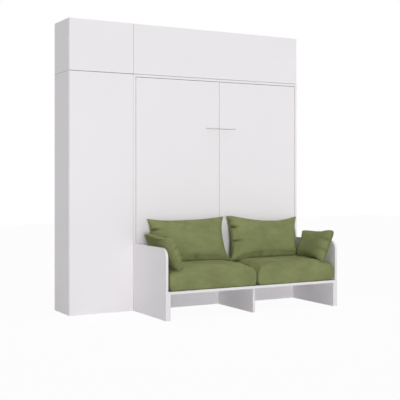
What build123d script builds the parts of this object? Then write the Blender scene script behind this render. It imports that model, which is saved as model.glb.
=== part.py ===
from build123d import *
import os
from math import acos, atan2, cos, degrees, hypot, radians, sin, sqrt

os.makedirs("parts", exist_ok=True)

# Wall bed with a sofa in front: a tall column, a folding double bed in its cabinet and a row of
# top units. Millimetres, +Z up, -Y to the front. The origin is on the floor under the middle of
# the whole unit.

# ---- driving dimensions -------------------------------------------------------------------
column_width = 600
bed_unit_width = 1760
lower_height = 2100
top_height = 450
cabinet_depth = 370
sofa_reach = 640
board = 22
edge_round = 0.8
glide_height = 3
glide_radius = 9
glide_inset = 40
stile_width = 80

# doors and flap that lie over the front edges of their boxes
door_thickness = 19
door_margin = 1.5
door_end_gap = 3
door_back_gap = 4
thin_panel = 3
back_panel_margin = 1

# folding bed
pivot_depth = 50
pivot_height = 310
leaf_thickness = 22
leaf_side_gap = 4.5
leaf_middle_gap = 4
leaf_top_gap = 4
leaf_below_pivot = 46
lower_front_thickness = 18
lower_front_top = 238
frame_below_pivot = 160
rail_width = 25
rail_depth = 50
rail_wall = 2
centre_rail_width = 40
mattress_width = 1600
mattress_thickness = 200
mattress_inset = 5
mattress_end_gap = 19
mattress_corner = 40
mattress_edge = 12
frame_end_gap = 12
soft_gap = 0.3
slat_count = 14
slat_width = 60
slat_thickness = 8
slat_first = 40
slat_last = 52
cap_wall = 3
cap_skin = 1
cap_length = 34
strap_width = 40
strap_thickness = 3
bracket_leg = 25
bracket_wall = 3
bracket_length = 60

# pivots and levers of the bed
pivot_pin_radius = 8
running_clearance = 0.05
bush_wall = 2
bush_flange = 2
bush_lip = 3
pin_end_gap = 1
plate_thickness = 4
plate_depth = 64
plate_height = 110
plate_offset = 10
plate_hole_radius = 2.5
plate_hole_inset = 11.2
plate_hole_end = 13.75
lever_thickness = 8
lever_reach_back = 50
lever_reach_down = 120
lever_reach_up = 110
lever_top_round = 22
lever_pivot_round = 24
lever_eye = 16

# gas struts of the bed
strut_anchor_depth = 300
strut_anchor_height = 920
strut_radius = 11
strut_wall = 2
strut_length = 520
strut_rod_radius = 5
strut_rod_length = 510
strut_eye_width = 12
strut_stud_radius = 5
strut_stud_gap = 0.5
strut_plate_size = 56
piston_play = 0.1
eye_neck = 8
eye_side = 1
stud_overrun = 1

# foot bar that swings out as the bed comes down
foot_tube_radius = 10
foot_tube_wall = 2
foot_pad_wall = 2
foot_pad_length = 60
foot_pad_spread = 600
foot_pivot_depth = 58
foot_pivot_from_end = 16
foot_bend = 20
foot_pin_radius = 6
foot_pin_head = 2.5
foot_pin_play = 0.5
foot_boss_radius = 14
foot_boss_length = 16.8
foot_leaf_clearance = 7
foot_behind_mattress = 2

# handle across the two leaves
handle_height = 1640
handle_length = 320
handle_radius = 6
handle_standoff = 35
handle_post_spacing = 160
handle_post_radius = 4

# column fittings
shelf_inset = 7
shelf_heights = (380, 730, 1760)
hanging_rail_height = 1690
hanging_rail_radius = 12.5
hanging_rail_wall = 1.5
hanging_flange_radius = 20
hanging_flange_thickness = 4

# pivot hinges of the doors
hinge_inset = 8
hinge_skin = 2.5
hinge_plate = 2.5
hinge_play = 1.5
hinge_pin_radius = 3
hinge_pin_length = 13
hinge_pin_room = 1
hinge_nose_radius = 5
hinge_neck = 2.5
hinge_grip = 30
hinge_tail = 45

# pivot hinges and gas stays of the flap
flap_finger_width = 8
flap_finger_play = 1
flap_nose_radius = 5
flap_nose_play = 0.5
flap_axis_inset = 7
flap_finger_lap = 1
flap_pin_radius = 2
flap_pin_length = 30
stay_bracket_below = 80
stay_bracket_back = 33
stay_anchor_depth = 300
stay_anchor_height = 350
stay_radius = 7.5
stay_wall = 1.5
stay_length = 200
stay_rod_radius = 3
stay_rod_length = 200
stay_eye_width = 8
stay_stud_radius = 3
stay_from_wall = 14
stay_plate_size = 36
stay_bracket_width = 20

# sofa
arm_height = 600
arm_corner_radius = 82
seat_height = 240
centre_setback = 38
cushion_gap = 6
seat_cushion_height = 196
seat_cushion_crown = 32
seat_cushion_roll = 75
seat_cushion_round = 34
back_cushion_width = 790
back_cushion_height = 392
back_cushion_thickness = 178
back_cushion_lean = 11
back_cushion_gap = 22
cushion_end_share = 0.9
pillow_width = 385
pillow_height = 292
pillow_thickness = 115
pillow_lean = 21
pillow_back_gap = 6

# wall fixing
anchor_spacing = 1400
anchor_hole_radius = 4.5
rail_board_height = 120

# ---- places that follow from them ---------------------------------------------------------
total_width = column_width + bed_unit_width
total_height = lower_height + top_height
left = -total_width / 2
right = total_width / 2
seam_x = left + column_width
bed_x = (seam_x + right) / 2
front_y = sofa_reach - (cabinet_depth + sofa_reach) / 2
back_y = front_y + cabinet_depth
sofa_y = front_y - sofa_reach
inner_half = bed_unit_width / 2 - board
carcass_y = front_y + door_thickness + door_back_gap
pivot_y = front_y + pivot_depth
anchor_height_low = glide_height + rail_board_height / 2
anchor_height_high = lower_height - board - rail_board_height / 2

leaf_back = front_y + leaf_thickness
leaf_bottom = pivot_height - leaf_below_pivot
leaf_top = lower_height - board - leaf_top_gap
leaf_half = inner_half - leaf_side_gap
rail_outer = mattress_width / 2 + rail_width
rail_inner = mattress_width / 2
rail_back = leaf_back + rail_depth
frame_low = pivot_height - frame_below_pivot
mattress_low = frame_low + mattress_inset
mattress_high = leaf_top - mattress_end_gap
frame_high = leaf_top - frame_end_gap
slat_pitch = (frame_high - frame_low - slat_first - slat_last) / (slat_count - 1)
slat_front = rail_back + cap_wall
slat_back = slat_front + slat_thickness
mattress_front = slat_back + cap_skin + soft_gap
mattress_back = mattress_front + mattress_thickness

lever_outer = rail_outer + lever_thickness
strut_half = strut_eye_width / 2
strut_x = lever_outer + bush_flange + strut_stud_gap + strut_half
lever_y = pivot_y + lever_reach_back
lever_z = pivot_height - lever_reach_down
strut_anchor_y = front_y + strut_anchor_depth

foot_pivot = (front_y + foot_pivot_depth, frame_high - foot_pivot_from_end)
foot_x = (rail_outer + inner_half) / 2
foot_boss_half = foot_boss_length / 2
foot_pin_end = foot_x + foot_boss_half + foot_pin_play + foot_pin_head

hinge_y = front_y + hinge_inset
flap_axis_z = total_height - door_end_gap - flap_axis_inset


# ---- helpers ------------------------------------------------------------------------------
def block(x0, x1, y0, y1, z0, z1, mode=Mode.ADD):
    """Square-edged block between two corners, for the builder that is open."""
    with Locations(((x0 + x1) / 2, (y0 + y1) / 2, (z0 + z1) / 2)):
        Box(abs(x1 - x0), abs(y1 - y0), abs(z1 - z0), mode=mode)


def bar_x(x0, x1, y, z, radius, mode=Mode.ADD):
    """Round bar along X from x0 to x1, for the builder that is open."""
    with Locations(((x0 + x1) / 2, y, z)):
        Cylinder(radius, abs(x1 - x0), rotation=(0, 90, 0), mode=mode)


def bar_z(x, y, z0, z1, radius, mode=Mode.ADD):
    """Upright round bar from z0 to z1, for the builder that is open."""
    with Locations((x, y, (z0 + z1) / 2)):
        Cylinder(radius, abs(z1 - z0), mode=mode)


def write(piece, name):
    """Label a finished piece and write it to its own file."""
    piece.part.label = name
    export_step(piece.part, f"parts/{name}.step")


sides = (("left", -1), ("right", 1))

# ---- bed cabinet --------------------------------------------------------------------------
for side, sign in sides:
    with BuildPart() as cabinet_side:
        block(bed_x + sign * inner_half, bed_x + sign * (inner_half + board),
              front_y, back_y, glide_height, lower_height)
        chamfer(cabinet_side.edges().filter_by(Axis.Z).group_by(Axis.Y)[0], edge_round)
    write(cabinet_side, f"bed_cabinet_side_{side}")

with BuildPart() as cabinet_top:
    block(bed_x - inner_half, bed_x + inner_half, front_y, back_y, lower_height - board, lower_height)
    chamfer(cabinet_top.edges().filter_by(Axis.X).group_by(Axis.Y)[0], edge_round)
write(cabinet_top, "bed_cabinet_top")

with BuildPart() as lower_front:
    block(bed_x - inner_half, bed_x + inner_half,
          front_y, front_y + lower_front_thickness, glide_height, lower_front_top)
    chamfer(lower_front.edges().filter_by(Axis.X).group_by(Axis.Z)[-1], edge_round)
write(lower_front, "bed_cabinet_lower_front")

rail_front_y = back_y - board
upper_rail_low = lower_height - board - rail_board_height
stile_half = stile_width / 2
with BuildPart() as back_rails:
    block(bed_x - inner_half, bed_x + inner_half, rail_front_y, back_y,
          upper_rail_low, lower_height - board)
    block(bed_x - inner_half, bed_x + inner_half, rail_front_y, back_y,
          glide_height, glide_height + rail_board_height)
    with BuildSketch(Plane.XZ.offset(-back_y)):
        with Locations((bed_x, (anchor_height_low + anchor_height_high) / 2)):
            with GridLocations(anchor_spacing, anchor_height_high - anchor_height_low, 2, 2):
                Circle(anchor_hole_radius)
    extrude(amount=board, mode=Mode.SUBTRACT)
write(back_rails, "bed_cabinet_back_rails")

with BuildPart() as back_stile:
    block(bed_x - stile_half, bed_x + stile_half, rail_front_y, back_y,
          glide_height + rail_board_height, upper_rail_low)
write(back_stile, "bed_cabinet_back_stile")

with BuildPart() as back_panels:
    for side, sign in sides:
        block(bed_x + sign * stile_half, bed_x + sign * inner_half,
              rail_front_y + board / 2, rail_front_y + board / 2 + thin_panel,
              glide_height + rail_board_height, upper_rail_low)
write(back_panels, "bed_cabinet_back_panels")

# ---- column -------------------------------------------------------------------------------
for side, sign in sides:
    outer = left if sign < 0 else seam_x
    with BuildPart() as column_side:
        block(outer, outer - sign * board, carcass_y, back_y, glide_height, lower_height)
        chamfer(column_side.edges().filter_by(Axis.Z).group_by(Axis.Y)[0], edge_round)
    write(column_side, f"column_side_{side}")

column_inner_left = left + board
column_inner_right = seam_x - board
back_inner_y = back_y - thin_panel
with BuildPart() as column_boards:
    for low in (glide_height, lower_height - board):
        block(column_inner_left, column_inner_right, carcass_y, back_inner_y, low, low + board)
write(column_boards, "column_boards")

with BuildPart() as column_shelves:
    for height in shelf_heights:
        block(column_inner_left, column_inner_right, carcass_y + shelf_inset, back_inner_y,
              height, height + board)
write(column_shelves, "column_shelves")

hanging_y = (carcass_y + back_y) / 2
with BuildPart() as hanging_rail:
    bar_x(column_inner_left, column_inner_right, hanging_y, hanging_rail_height, hanging_rail_radius)
    bar_x(column_inner_left, column_inner_left + hanging_flange_thickness,
          hanging_y, hanging_rail_height, hanging_flange_radius)
    bar_x(column_inner_right - hanging_flange_thickness, column_inner_right,
          hanging_y, hanging_rail_height, hanging_flange_radius)
    bar_x(column_inner_left + hanging_flange_thickness, column_inner_right - hanging_flange_thickness,
          hanging_y, hanging_rail_height, hanging_rail_radius - hanging_rail_wall, mode=Mode.SUBTRACT)
write(hanging_rail, "column_hanging_rail")

# ---- top units ----------------------------------------------------------------------------
with BuildPart() as small_top_sides:
    block(left, column_inner_left, carcass_y, back_y, lower_height, total_height)
    block(column_inner_right, seam_x, carcass_y, back_y, lower_height, total_height)
write(small_top_sides, "small_top_sides")

wide_left = seam_x + board
wide_right = right - board
with BuildPart() as wide_top_sides:
    block(seam_x, wide_left, carcass_y, back_y, lower_height, total_height)
    block(wide_right, right, carcass_y, back_y, lower_height, total_height)
    block(bed_x - board / 2, bed_x + board / 2, carcass_y, back_inner_y,
          lower_height + board, total_height - board)
write(wide_top_sides, "wide_top_sides")

with BuildPart() as top_unit_boards:
    for x0, x1 in ((column_inner_left, column_inner_right), (wide_left, wide_right)):
        for low in (lower_height, total_height - board):
            block(x0, x1, carcass_y, back_inner_y, low, low + board)
write(top_unit_boards, "top_unit_boards")

with BuildPart() as unit_back_panels:
    block(column_inner_left, column_inner_right, back_inner_y, back_y,
          glide_height, lower_height - back_panel_margin)
    for x0, x1 in ((column_inner_left, column_inner_right), (wide_left, wide_right)):
        block(x0, x1, back_inner_y, back_y, lower_height + back_panel_margin,
              total_height - back_panel_margin)
write(unit_back_panels, "unit_back_panels")

# ---- doors on pivot hinges ----------------------------------------------------------------
door_left = left + door_margin
door_right = seam_x - door_margin
hinge_x = door_left + hinge_inset
hinge_plate_right = column_inner_left + hinge_grip


def hinge_levels(low, high):
    """Low faces of a door's two hinge plates, and the way each pin points."""
    return ((low + board, 1), (high - board - hinge_plate, -1))


door_units = (
    ("column_door", glide_height, lower_height, glide_height),
    ("small_top_door", lower_height, total_height, lower_height + door_end_gap),
)
for name, low, high, door_low in door_units:
    with BuildPart() as door:
        block(door_left, door_right, front_y, front_y + door_thickness, door_low, high - door_end_gap)
        for level, way in hinge_levels(low, high):
            block(door_left, hinge_plate_right + hinge_play * 2, front_y + hinge_skin,
                  front_y + door_thickness, level - hinge_play, level + hinge_plate + hinge_play,
                  mode=Mode.SUBTRACT)
            pin_start = level + hinge_plate if way > 0 else level
            bar_z(hinge_x, hinge_y, pin_start, pin_start + way * (hinge_pin_length + hinge_pin_room),
                  hinge_pin_radius + running_clearance, mode=Mode.SUBTRACT)
        chamfer(door.edges().filter_by(Axis.Z).group_by(Axis.Y)[0], edge_round)
    write(door, name)

with BuildPart() as door_pivots:
    for name, low, high, door_low in door_units:
        for level, way in hinge_levels(low, high):
            bar_z(hinge_x, hinge_y, level, level + hinge_plate, hinge_nose_radius)
            block(hinge_x, hinge_plate_right, hinge_y - hinge_nose_radius,
                  carcass_y - hinge_play, level, level + hinge_plate)
            block(hinge_x - hinge_neck, hinge_x, hinge_y,
                  carcass_y - hinge_play, level, level + hinge_plate)
            block(column_inner_left + hinge_play, hinge_plate_right, carcass_y - hinge_play,
                  carcass_y + hinge_tail, level, level + hinge_plate)
            pin_start = level + hinge_plate if way > 0 else level
            bar_z(hinge_x, hinge_y, pin_start, pin_start + way * hinge_pin_length, hinge_pin_radius)
write(door_pivots, "door_pivot_plates")

# ---- wide flap on hidden fingers ----------------------------------------------------------
flap_left = seam_x + door_margin
flap_right = right - door_margin
flap_low = lower_height + door_end_gap
flap_high = total_height - door_end_gap
finger_places = (bed_x - bed_unit_width / 3, bed_x + flap_pin_length, bed_x + bed_unit_width / 3)
finger_root_z = total_height - board - hinge_plate
finger_half = flap_finger_width / 2
pin_half = flap_pin_length / 2
with BuildPart() as wide_flap:
    block(flap_left, flap_right, front_y, front_y + door_thickness, flap_low, flap_high)
    for x in finger_places:
        block(x - finger_half - flap_finger_play, x + finger_half + flap_finger_play,
              hinge_y - flap_nose_radius - flap_nose_play, front_y + door_thickness,
              finger_root_z - hinge_play, flap_high, mode=Mode.SUBTRACT)
        bar_x(x - pin_half - hinge_pin_room, x + pin_half + hinge_pin_room, hinge_y, flap_axis_z,
              flap_pin_radius + running_clearance, mode=Mode.SUBTRACT)
    chamfer(wide_flap.edges().filter_by(Axis.X).group_by(Axis.Y)[0].group_by(Axis.Z)[0], edge_round)
write(wide_flap, "wide_flap")

finger_start_y = carcass_y - flap_finger_lap
finger_tail_y = carcass_y + hinge_tail
with BuildPart() as flap_hinges:
    for x in finger_places:
        with BuildSketch(Plane.YZ.offset(x - finger_half)):
            with BuildLine():
                Polyline(
                    (hinge_y, flap_axis_z + flap_nose_radius),
                    (hinge_y + flap_nose_radius, flap_axis_z + flap_nose_radius),
                    (finger_start_y, finger_root_z + hinge_plate + flap_finger_lap),
                    (finger_start_y, finger_root_z),
                    (hinge_y + flap_nose_radius, finger_root_z),
                    (hinge_y - flap_nose_radius, flap_axis_z),
                    (hinge_y, flap_axis_z + flap_nose_radius),
                )
            make_face()
            with Locations((hinge_y, flap_axis_z)):
                Circle(flap_nose_radius)
        extrude(amount=flap_finger_width)
        block(x - finger_half, x + finger_half, finger_start_y, finger_tail_y,
              finger_root_z, finger_root_z + hinge_plate)
        bar_x(x - pin_half, x + pin_half, hinge_y, flap_axis_z, flap_pin_radius)
write(flap_hinges, "flap_hinges")

# ---- folding bed: front leaves ------------------------------------------------------------
for side, sign in sides:
    with BuildPart() as leaf:
        block(bed_x + sign * leaf_middle_gap / 2, bed_x + sign * leaf_half, front_y, leaf_back,
              leaf_bottom, leaf_top)
        chamfer(leaf.edges().filter_by(Axis.Z).group_by(Axis.Y)[0], edge_round)
    write(leaf, f"bed_front_{side}")

# ---- folding bed: steel frame -------------------------------------------------------------
with BuildPart() as side_rails:
    for side, sign in sides:
        block(bed_x + sign * rail_inner, bed_x + sign * rail_outer, leaf_back, rail_back,
              frame_low, frame_high)
        block(bed_x + sign * (rail_inner + rail_wall), bed_x + sign * (rail_outer - rail_wall),
              leaf_back + rail_wall, rail_back - rail_wall, frame_low, frame_high, mode=Mode.SUBTRACT)
        bar_x(bed_x + sign * rail_outer, bed_x + sign * foot_pin_end, foot_pivot[0], foot_pivot[1],
              foot_pin_radius)
        bar_x(bed_x + sign * (foot_pin_end - foot_pin_head), bed_x + sign * foot_pin_end,
              foot_pivot[0], foot_pivot[1], foot_pin_radius + foot_pin_head)
write(side_rails, "bed_side_rails")

with BuildPart() as end_rails:
    for low in (frame_low, frame_high - rail_width):
        block(bed_x - rail_inner, bed_x + rail_inner, leaf_back, rail_back, low, low + rail_width)
        block(bed_x - rail_inner, bed_x + rail_inner, leaf_back + rail_wall, rail_back - rail_wall,
              low + rail_wall, low + rail_width - rail_wall, mode=Mode.SUBTRACT)
write(end_rails, "bed_end_rails")

centre_half = centre_rail_width / 2
with BuildPart() as centre_rail:
    block(bed_x - centre_half, bed_x + centre_half, leaf_back, rail_back,
          frame_low + rail_width, frame_high - rail_width)
    block(bed_x - centre_half + rail_wall, bed_x + centre_half - rail_wall,
          leaf_back + rail_wall, rail_back - rail_wall,
          frame_low + rail_width, frame_high - rail_width, mode=Mode.SUBTRACT)
write(centre_rail, "bed_centre_rail")

with BuildPart() as rail_caps:
    for side, sign in sides:
        for low in (frame_low, frame_high - rail_wall * 2):
            block(bed_x + sign * (rail_inner + rail_wall), bed_x + sign * (rail_outer - rail_wall),
                  leaf_back + rail_wall, rail_back - rail_wall, low, low + rail_wall * 2)
write(rail_caps, "bed_rail_caps")

# ---- folding bed: slats in their holders --------------------------------------------------
slat_outer = rail_outer - cap_wall
slat_levels = [frame_low + slat_first + slat_pitch * i for i in range(slat_count)]
with BuildPart() as slats:
    for level in slat_levels:
        for side, sign in sides:
            block(bed_x + sign * cap_wall, bed_x + sign * slat_outer, slat_front, slat_back,
                  level - slat_width / 2, level + slat_width / 2)
write(slats, "bed_slats")

cap_half = slat_width / 2 + cap_wall
with BuildPart() as slat_holders:
    for level in slat_levels:
        block(bed_x - cap_length, bed_x + cap_length, rail_back, slat_back + cap_skin,
              level - cap_half, level + cap_half)
        for side, sign in sides:
            block(bed_x + sign * (rail_outer - cap_length), bed_x + sign * rail_outer,
                  rail_back, slat_back + cap_skin, level - cap_half, level + cap_half)
            block(bed_x + sign * cap_wall, bed_x + sign * slat_outer, slat_front, slat_back,
                  level - slat_width / 2, level + slat_width / 2, mode=Mode.SUBTRACT)
write(slat_holders, "bed_slat_holders")

# ---- folding bed: brackets that carry the leaves -------------------------------------------
bracket_shares = (0.1, 0.35, 0.6, 0.85)
bracket_levels = [frame_low + rail_width * 2 + share * (frame_high - frame_low) for share in bracket_shares]
with BuildPart() as front_brackets:
    for level in bracket_levels:
        for side, sign in sides:
            for start, way in ((rail_inner, -1), (centre_half, 1)):
                bracket_x = bed_x + sign * start
                block(bracket_x, bracket_x + sign * way * bracket_leg, leaf_back, leaf_back + bracket_wall,
                      level, level + bracket_length)
                block(bracket_x, bracket_x + sign * way * bracket_wall, leaf_back, leaf_back + bracket_leg,
                      level, level + bracket_length)
write(front_brackets, "bed_front_brackets")

# ---- handle -------------------------------------------------------------------------------
handle_y = front_y - handle_standoff
with BuildPart() as handle:
    bar_x(bed_x - handle_length / 2, bed_x + handle_length / 2, handle_y, handle_height, handle_radius)
    fillet(handle.edges().filter_by(GeomType.CIRCLE), handle_radius / 4)
    with BuildSketch(Plane.XZ.offset(-front_y)):
        with Locations((bed_x, handle_height)):
            with GridLocations(handle_post_spacing, 1, 2, 1):
                Circle(handle_post_radius)
    extrude(amount=handle_standoff)
write(handle, "bed_handle")

# ---- mattress and its straps --------------------------------------------------------------
with BuildPart() as mattress:
    block(bed_x - mattress_width / 2, bed_x + mattress_width / 2, mattress_front, mattress_back,
          mattress_low, mattress_high)
    fillet(mattress.edges().filter_by(Axis.Y), mattress_corner)
    fillet(mattress.faces().sort_by(Axis.Y)[-1].edges(), mattress_edge)
write(mattress, "mattress")

strap_inner = mattress_width / 2 + soft_gap
strap_outer = strap_inner + strap_thickness
strap_back = mattress_back + soft_gap + strap_thickness
with BuildPart() as straps:
    for below in (3, 9):
        level = slat_levels[below] + slat_pitch / 2
        block(bed_x - strap_outer, bed_x + strap_outer, rail_back, strap_back,
              level - strap_width / 2, level + strap_width / 2)
        block(bed_x - strap_inner, bed_x + strap_inner, rail_back, mattress_back + soft_gap,
              level - strap_width / 2, level + strap_width / 2, mode=Mode.SUBTRACT)
write(straps, "mattress_straps")

# ---- bed pivots: plates and pins on the cabinet, levers and bushes on the frame --------------
plate_y = pivot_y + plate_offset
plate_hole_spread = plate_depth - plate_hole_inset * 2
plate_hole_rise = plate_height - plate_hole_end * 2
with BuildPart() as pivot_plates:
    for side, sign in sides:
        wall_x = bed_x + sign * inner_half
        plate_x = wall_x - sign * plate_thickness
        block(plate_x, wall_x, plate_y - plate_depth / 2, plate_y + plate_depth / 2,
              pivot_height - plate_height / 2, pivot_height + plate_height / 2)
        bar_x(bed_x + sign * (rail_outer + pin_end_gap), plate_x, pivot_y, pivot_height, pivot_pin_radius)
        with BuildSketch(Plane.YZ.offset(wall_x)):
            with Locations((plate_y, pivot_height)):
                with GridLocations(plate_hole_spread, plate_hole_rise, 2, 2):
                    Circle(plate_hole_radius)
        extrude(amount=-sign * plate_thickness, mode=Mode.SUBTRACT)
write(pivot_plates, "bed_pivot_plates")

bush_outer = pivot_pin_radius + running_clearance + bush_wall
lever_top_z = pivot_height + lever_reach_up
with BuildPart() as levers:
    for side, sign in sides:
        with BuildSketch(Plane.YZ.offset(bed_x + sign * rail_outer)):
            with Locations((leaf_back + rail_depth / 2, lever_top_z)):
                Circle(lever_top_round)
            with Locations((pivot_y, pivot_height)):
                Circle(lever_pivot_round)
            with Locations((lever_y, lever_z)):
                Circle(lever_eye)
            make_hull()
            with Locations((pivot_y, pivot_height)):
                Circle(bush_outer, mode=Mode.SUBTRACT)
        extrude(amount=sign * lever_thickness)
        bar_x(bed_x + sign * lever_outer, bed_x + sign * (lever_outer + bush_flange), lever_y, lever_z,
              strut_stud_radius)
write(levers, "bed_levers")

with BuildPart() as bushes:
    for side, sign in sides:
        with BuildSketch(Plane.YZ.offset(bed_x + sign * rail_outer)):
            with Locations((pivot_y, pivot_height)):
                Circle(bush_outer)
                Circle(pivot_pin_radius + running_clearance, mode=Mode.SUBTRACT)
        extrude(amount=sign * lever_thickness)
        with BuildSketch(Plane.YZ.offset(bed_x + sign * lever_outer)):
            with Locations((pivot_y, pivot_height)):
                Circle(bush_outer + bush_lip)
                Circle(pivot_pin_radius + running_clearance, mode=Mode.SUBTRACT)
        extrude(amount=sign * bush_flange)
write(bushes, "bed_pivot_bushes")


# ---- gas struts ---------------------------------------------------------------------------
def strut_plane(x, anchor, tip):
    """Plane at the anchor with its normal towards the tip, both points as (y, z)."""
    start = Vector(x, anchor[0], anchor[1])
    end = Vector(x, tip[0], tip[1])
    return Plane(origin=start, x_dir=(1, 0, 0), z_dir=end - start)


def gas_cylinder(x, anchor, tip, eye_width, eye_radius, stud_radius, radius, wall, length, rod_radius):
    """Pressure tube with an eye at the anchor and a guide cap round the rod."""
    along = strut_plane(x, anchor, tip)
    neck = eye_radius + eye_neck
    with BuildPart() as cylinder:
        bar_x(x - eye_width / 2, x + eye_width / 2, anchor[0], anchor[1], eye_radius)
        with BuildSketch(along.offset(eye_radius / 2)):
            Circle(eye_width / 2 - eye_side)
        extrude(amount=neck - eye_radius / 2)
        with BuildSketch(along.offset(neck)):
            Circle(radius)
        extrude(amount=length - neck)
        fillet(cylinder.edges().filter_by(GeomType.CIRCLE).group_by(SortBy.RADIUS)[-1]
               .sort_by(Axis.Z)[0], wall / 2)
        with BuildSketch(along.offset(neck + wall * 2)):
            Circle(radius - wall)
        extrude(amount=length - neck - wall * 6, mode=Mode.SUBTRACT)
        with BuildSketch(along.offset(length - wall * 5)):
            Circle(rod_radius + running_clearance)
        extrude(amount=wall * 6, mode=Mode.SUBTRACT)
        bar_x(x - eye_width, x + eye_width, anchor[0], anchor[1], stud_radius + running_clearance,
              mode=Mode.SUBTRACT)
    return cylinder


def gas_rod(x, anchor, tip, eye_width, eye_radius, stud_radius, piston_radius, length, rod_radius):
    """Piston rod with its eye at the tip."""
    reach = hypot(tip[0] - anchor[0], tip[1] - anchor[1])
    along = strut_plane(x, anchor, tip)
    with BuildPart() as rod:
        bar_x(x - eye_width / 2, x + eye_width / 2, tip[0], tip[1], eye_radius)
        with BuildSketch(along.offset(reach - length)):
            Circle(rod_radius)
        extrude(amount=length - eye_radius / 2)
        with BuildSketch(along.offset(reach - length)):
            Circle(piston_radius)
        extrude(amount=piston_radius)
        bar_x(x - eye_width, x + eye_width, tip[0], tip[1], stud_radius + running_clearance,
              mode=Mode.SUBTRACT)
    return rod


strut_anchor = (strut_anchor_y, strut_anchor_height)
strut_tip = (lever_y, lever_z)
for side, sign in sides:
    strut = gas_cylinder(bed_x + sign * strut_x, strut_anchor, strut_tip, strut_eye_width, strut_radius,
                         strut_stud_radius, strut_radius, strut_wall, strut_length, strut_rod_radius)
    write(strut, f"strut_cylinder_{side}")
    rod = gas_rod(bed_x + sign * strut_x, strut_anchor, strut_tip, strut_eye_width, strut_radius,
                  strut_stud_radius, strut_radius - strut_wall - piston_play, strut_rod_length,
                  strut_rod_radius)
    write(rod, f"strut_rod_{side}")

# ---- gas stays of the flap ----------------------------------------------------------------
stay_half = stay_eye_width / 2
stay_anchor = (front_y + stay_anchor_depth, lower_height + stay_anchor_height)
stay_tip = (hinge_y + stay_bracket_back, flap_axis_z - stay_bracket_below)
wide_half = bed_unit_width / 2 - board
for side, sign in sides:
    stay_x = bed_x + sign * (wide_half - stay_from_wall)
    stay = gas_cylinder(stay_x, stay_anchor, stay_tip, stay_eye_width, stay_radius, stay_stud_radius,
                        stay_radius, stay_wall, stay_length, stay_rod_radius)
    write(stay, f"stay_cylinder_{side}")
    rod = gas_rod(stay_x, stay_anchor, stay_tip, stay_eye_width, stay_radius, stay_stud_radius,
                  stay_radius - stay_wall - piston_play, stay_rod_length, stay_rod_radius)
    write(rod, f"stay_rod_{side}")

stay_stud_end = wide_half - stay_from_wall - stay_half - stud_overrun
gas_anchors = (
    (inner_half, strut_anchor, strut_plate_size / 2, strut_x - strut_half - stud_overrun, strut_stud_radius),
    (wide_half, stay_anchor, stay_plate_size / 2, stay_stud_end, stay_stud_radius),
)
with BuildPart() as gas_anchor_plates:
    for side, sign in sides:
        for wall, anchor, half, stud_end, stud_radius in gas_anchors:
            block(bed_x + sign * (wall - bracket_wall), bed_x + sign * wall, anchor[0] - half,
                  anchor[0] + half, anchor[1] - half, anchor[1] + half)
            bar_x(bed_x + sign * (wall - bracket_wall), bed_x + sign * stud_end, anchor[0], anchor[1],
                  stud_radius)
write(gas_anchor_plates, "gas_anchor_plates")

flap_back = front_y + door_thickness
with BuildPart() as flap_brackets:
    for side, sign in sides:
        lug_x = bed_x + sign * (wide_half - stay_from_wall - stay_half - strut_stud_gap)
        block(lug_x - sign * stay_bracket_width, lug_x, flap_back, flap_back + hinge_plate,
              stay_tip[1] - stay_plate_size / 2, stay_tip[1] + stay_plate_size / 2)
        block(lug_x - sign * hinge_plate, lug_x, flap_back, stay_tip[0] + stay_radius,
              stay_tip[1] - stay_radius, stay_tip[1] + stay_radius)
write(flap_brackets, "flap_stay_brackets")

# ---- foot bar: turns out round the foot of the bed and stands on the floor ------------------
foot_centre_height = foot_tube_radius + foot_pad_wall
foot_elbow = leaf_top - foot_pivot[1] + foot_tube_radius + foot_leaf_clearance
foot_drop = pivot_height + (foot_pivot_depth - pivot_depth) - foot_centre_height
foot_reach = hypot(foot_elbow, foot_drop)
foot_behind = mattress_back + foot_behind_mattress + foot_centre_height - foot_pivot[0]
foot_stowed = -degrees(acos(foot_behind / foot_reach))
foot_turn = degrees(atan2(foot_elbow, -foot_drop)) - foot_stowed


def from_foot_pivot(radius, angle):
    """Point (y, z) at a distance and angle from the foot bar's pivot."""
    return (foot_pivot[0] + radius * cos(radians(angle)), foot_pivot[1] + radius * sin(radians(angle)))


elbow_point = from_foot_pivot(foot_elbow, 90 - foot_turn)
bar_point = from_foot_pivot(foot_reach, foot_stowed)
start_point = from_foot_pivot(foot_tube_radius, 90 - foot_turn)
with BuildPart() as foot_bar:
    with BuildLine() as foot_path:
        FilletPolyline(
            (bed_x - foot_x, *start_point),
            (bed_x - foot_x, *elbow_point),
            (bed_x - foot_x, *bar_point),
            (bed_x + foot_x, *bar_point),
            (bed_x + foot_x, *elbow_point),
            (bed_x + foot_x, *start_point),
            radius=foot_bend,
        )
    with BuildSketch(Plane(origin=foot_path.line @ 0, z_dir=foot_path.line % 0)):
        Circle(foot_tube_radius)
        Circle(foot_tube_radius - foot_tube_wall, mode=Mode.SUBTRACT)
    sweep(path=foot_path.line)
    for side, sign in sides:
        boss_x = bed_x + sign * foot_x
        bar_x(boss_x - foot_boss_half, boss_x + foot_boss_half, foot_pivot[0], foot_pivot[1],
              foot_boss_radius)
        bar_x(boss_x - foot_boss_radius, boss_x + foot_boss_radius, foot_pivot[0], foot_pivot[1],
              foot_pin_radius + running_clearance, mode=Mode.SUBTRACT)
write(foot_bar, "foot_bar")

with BuildPart() as foot_pads:
    for side, sign in sides:
        with BuildSketch(Plane.YZ.offset(bed_x + sign * foot_pad_spread)):
            with Locations(bar_point):
                Circle(foot_centre_height)
                Circle(foot_tube_radius, mode=Mode.SUBTRACT)
        extrude(amount=sign * foot_pad_length)
write(foot_pads, "foot_bar_pads")

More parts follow.
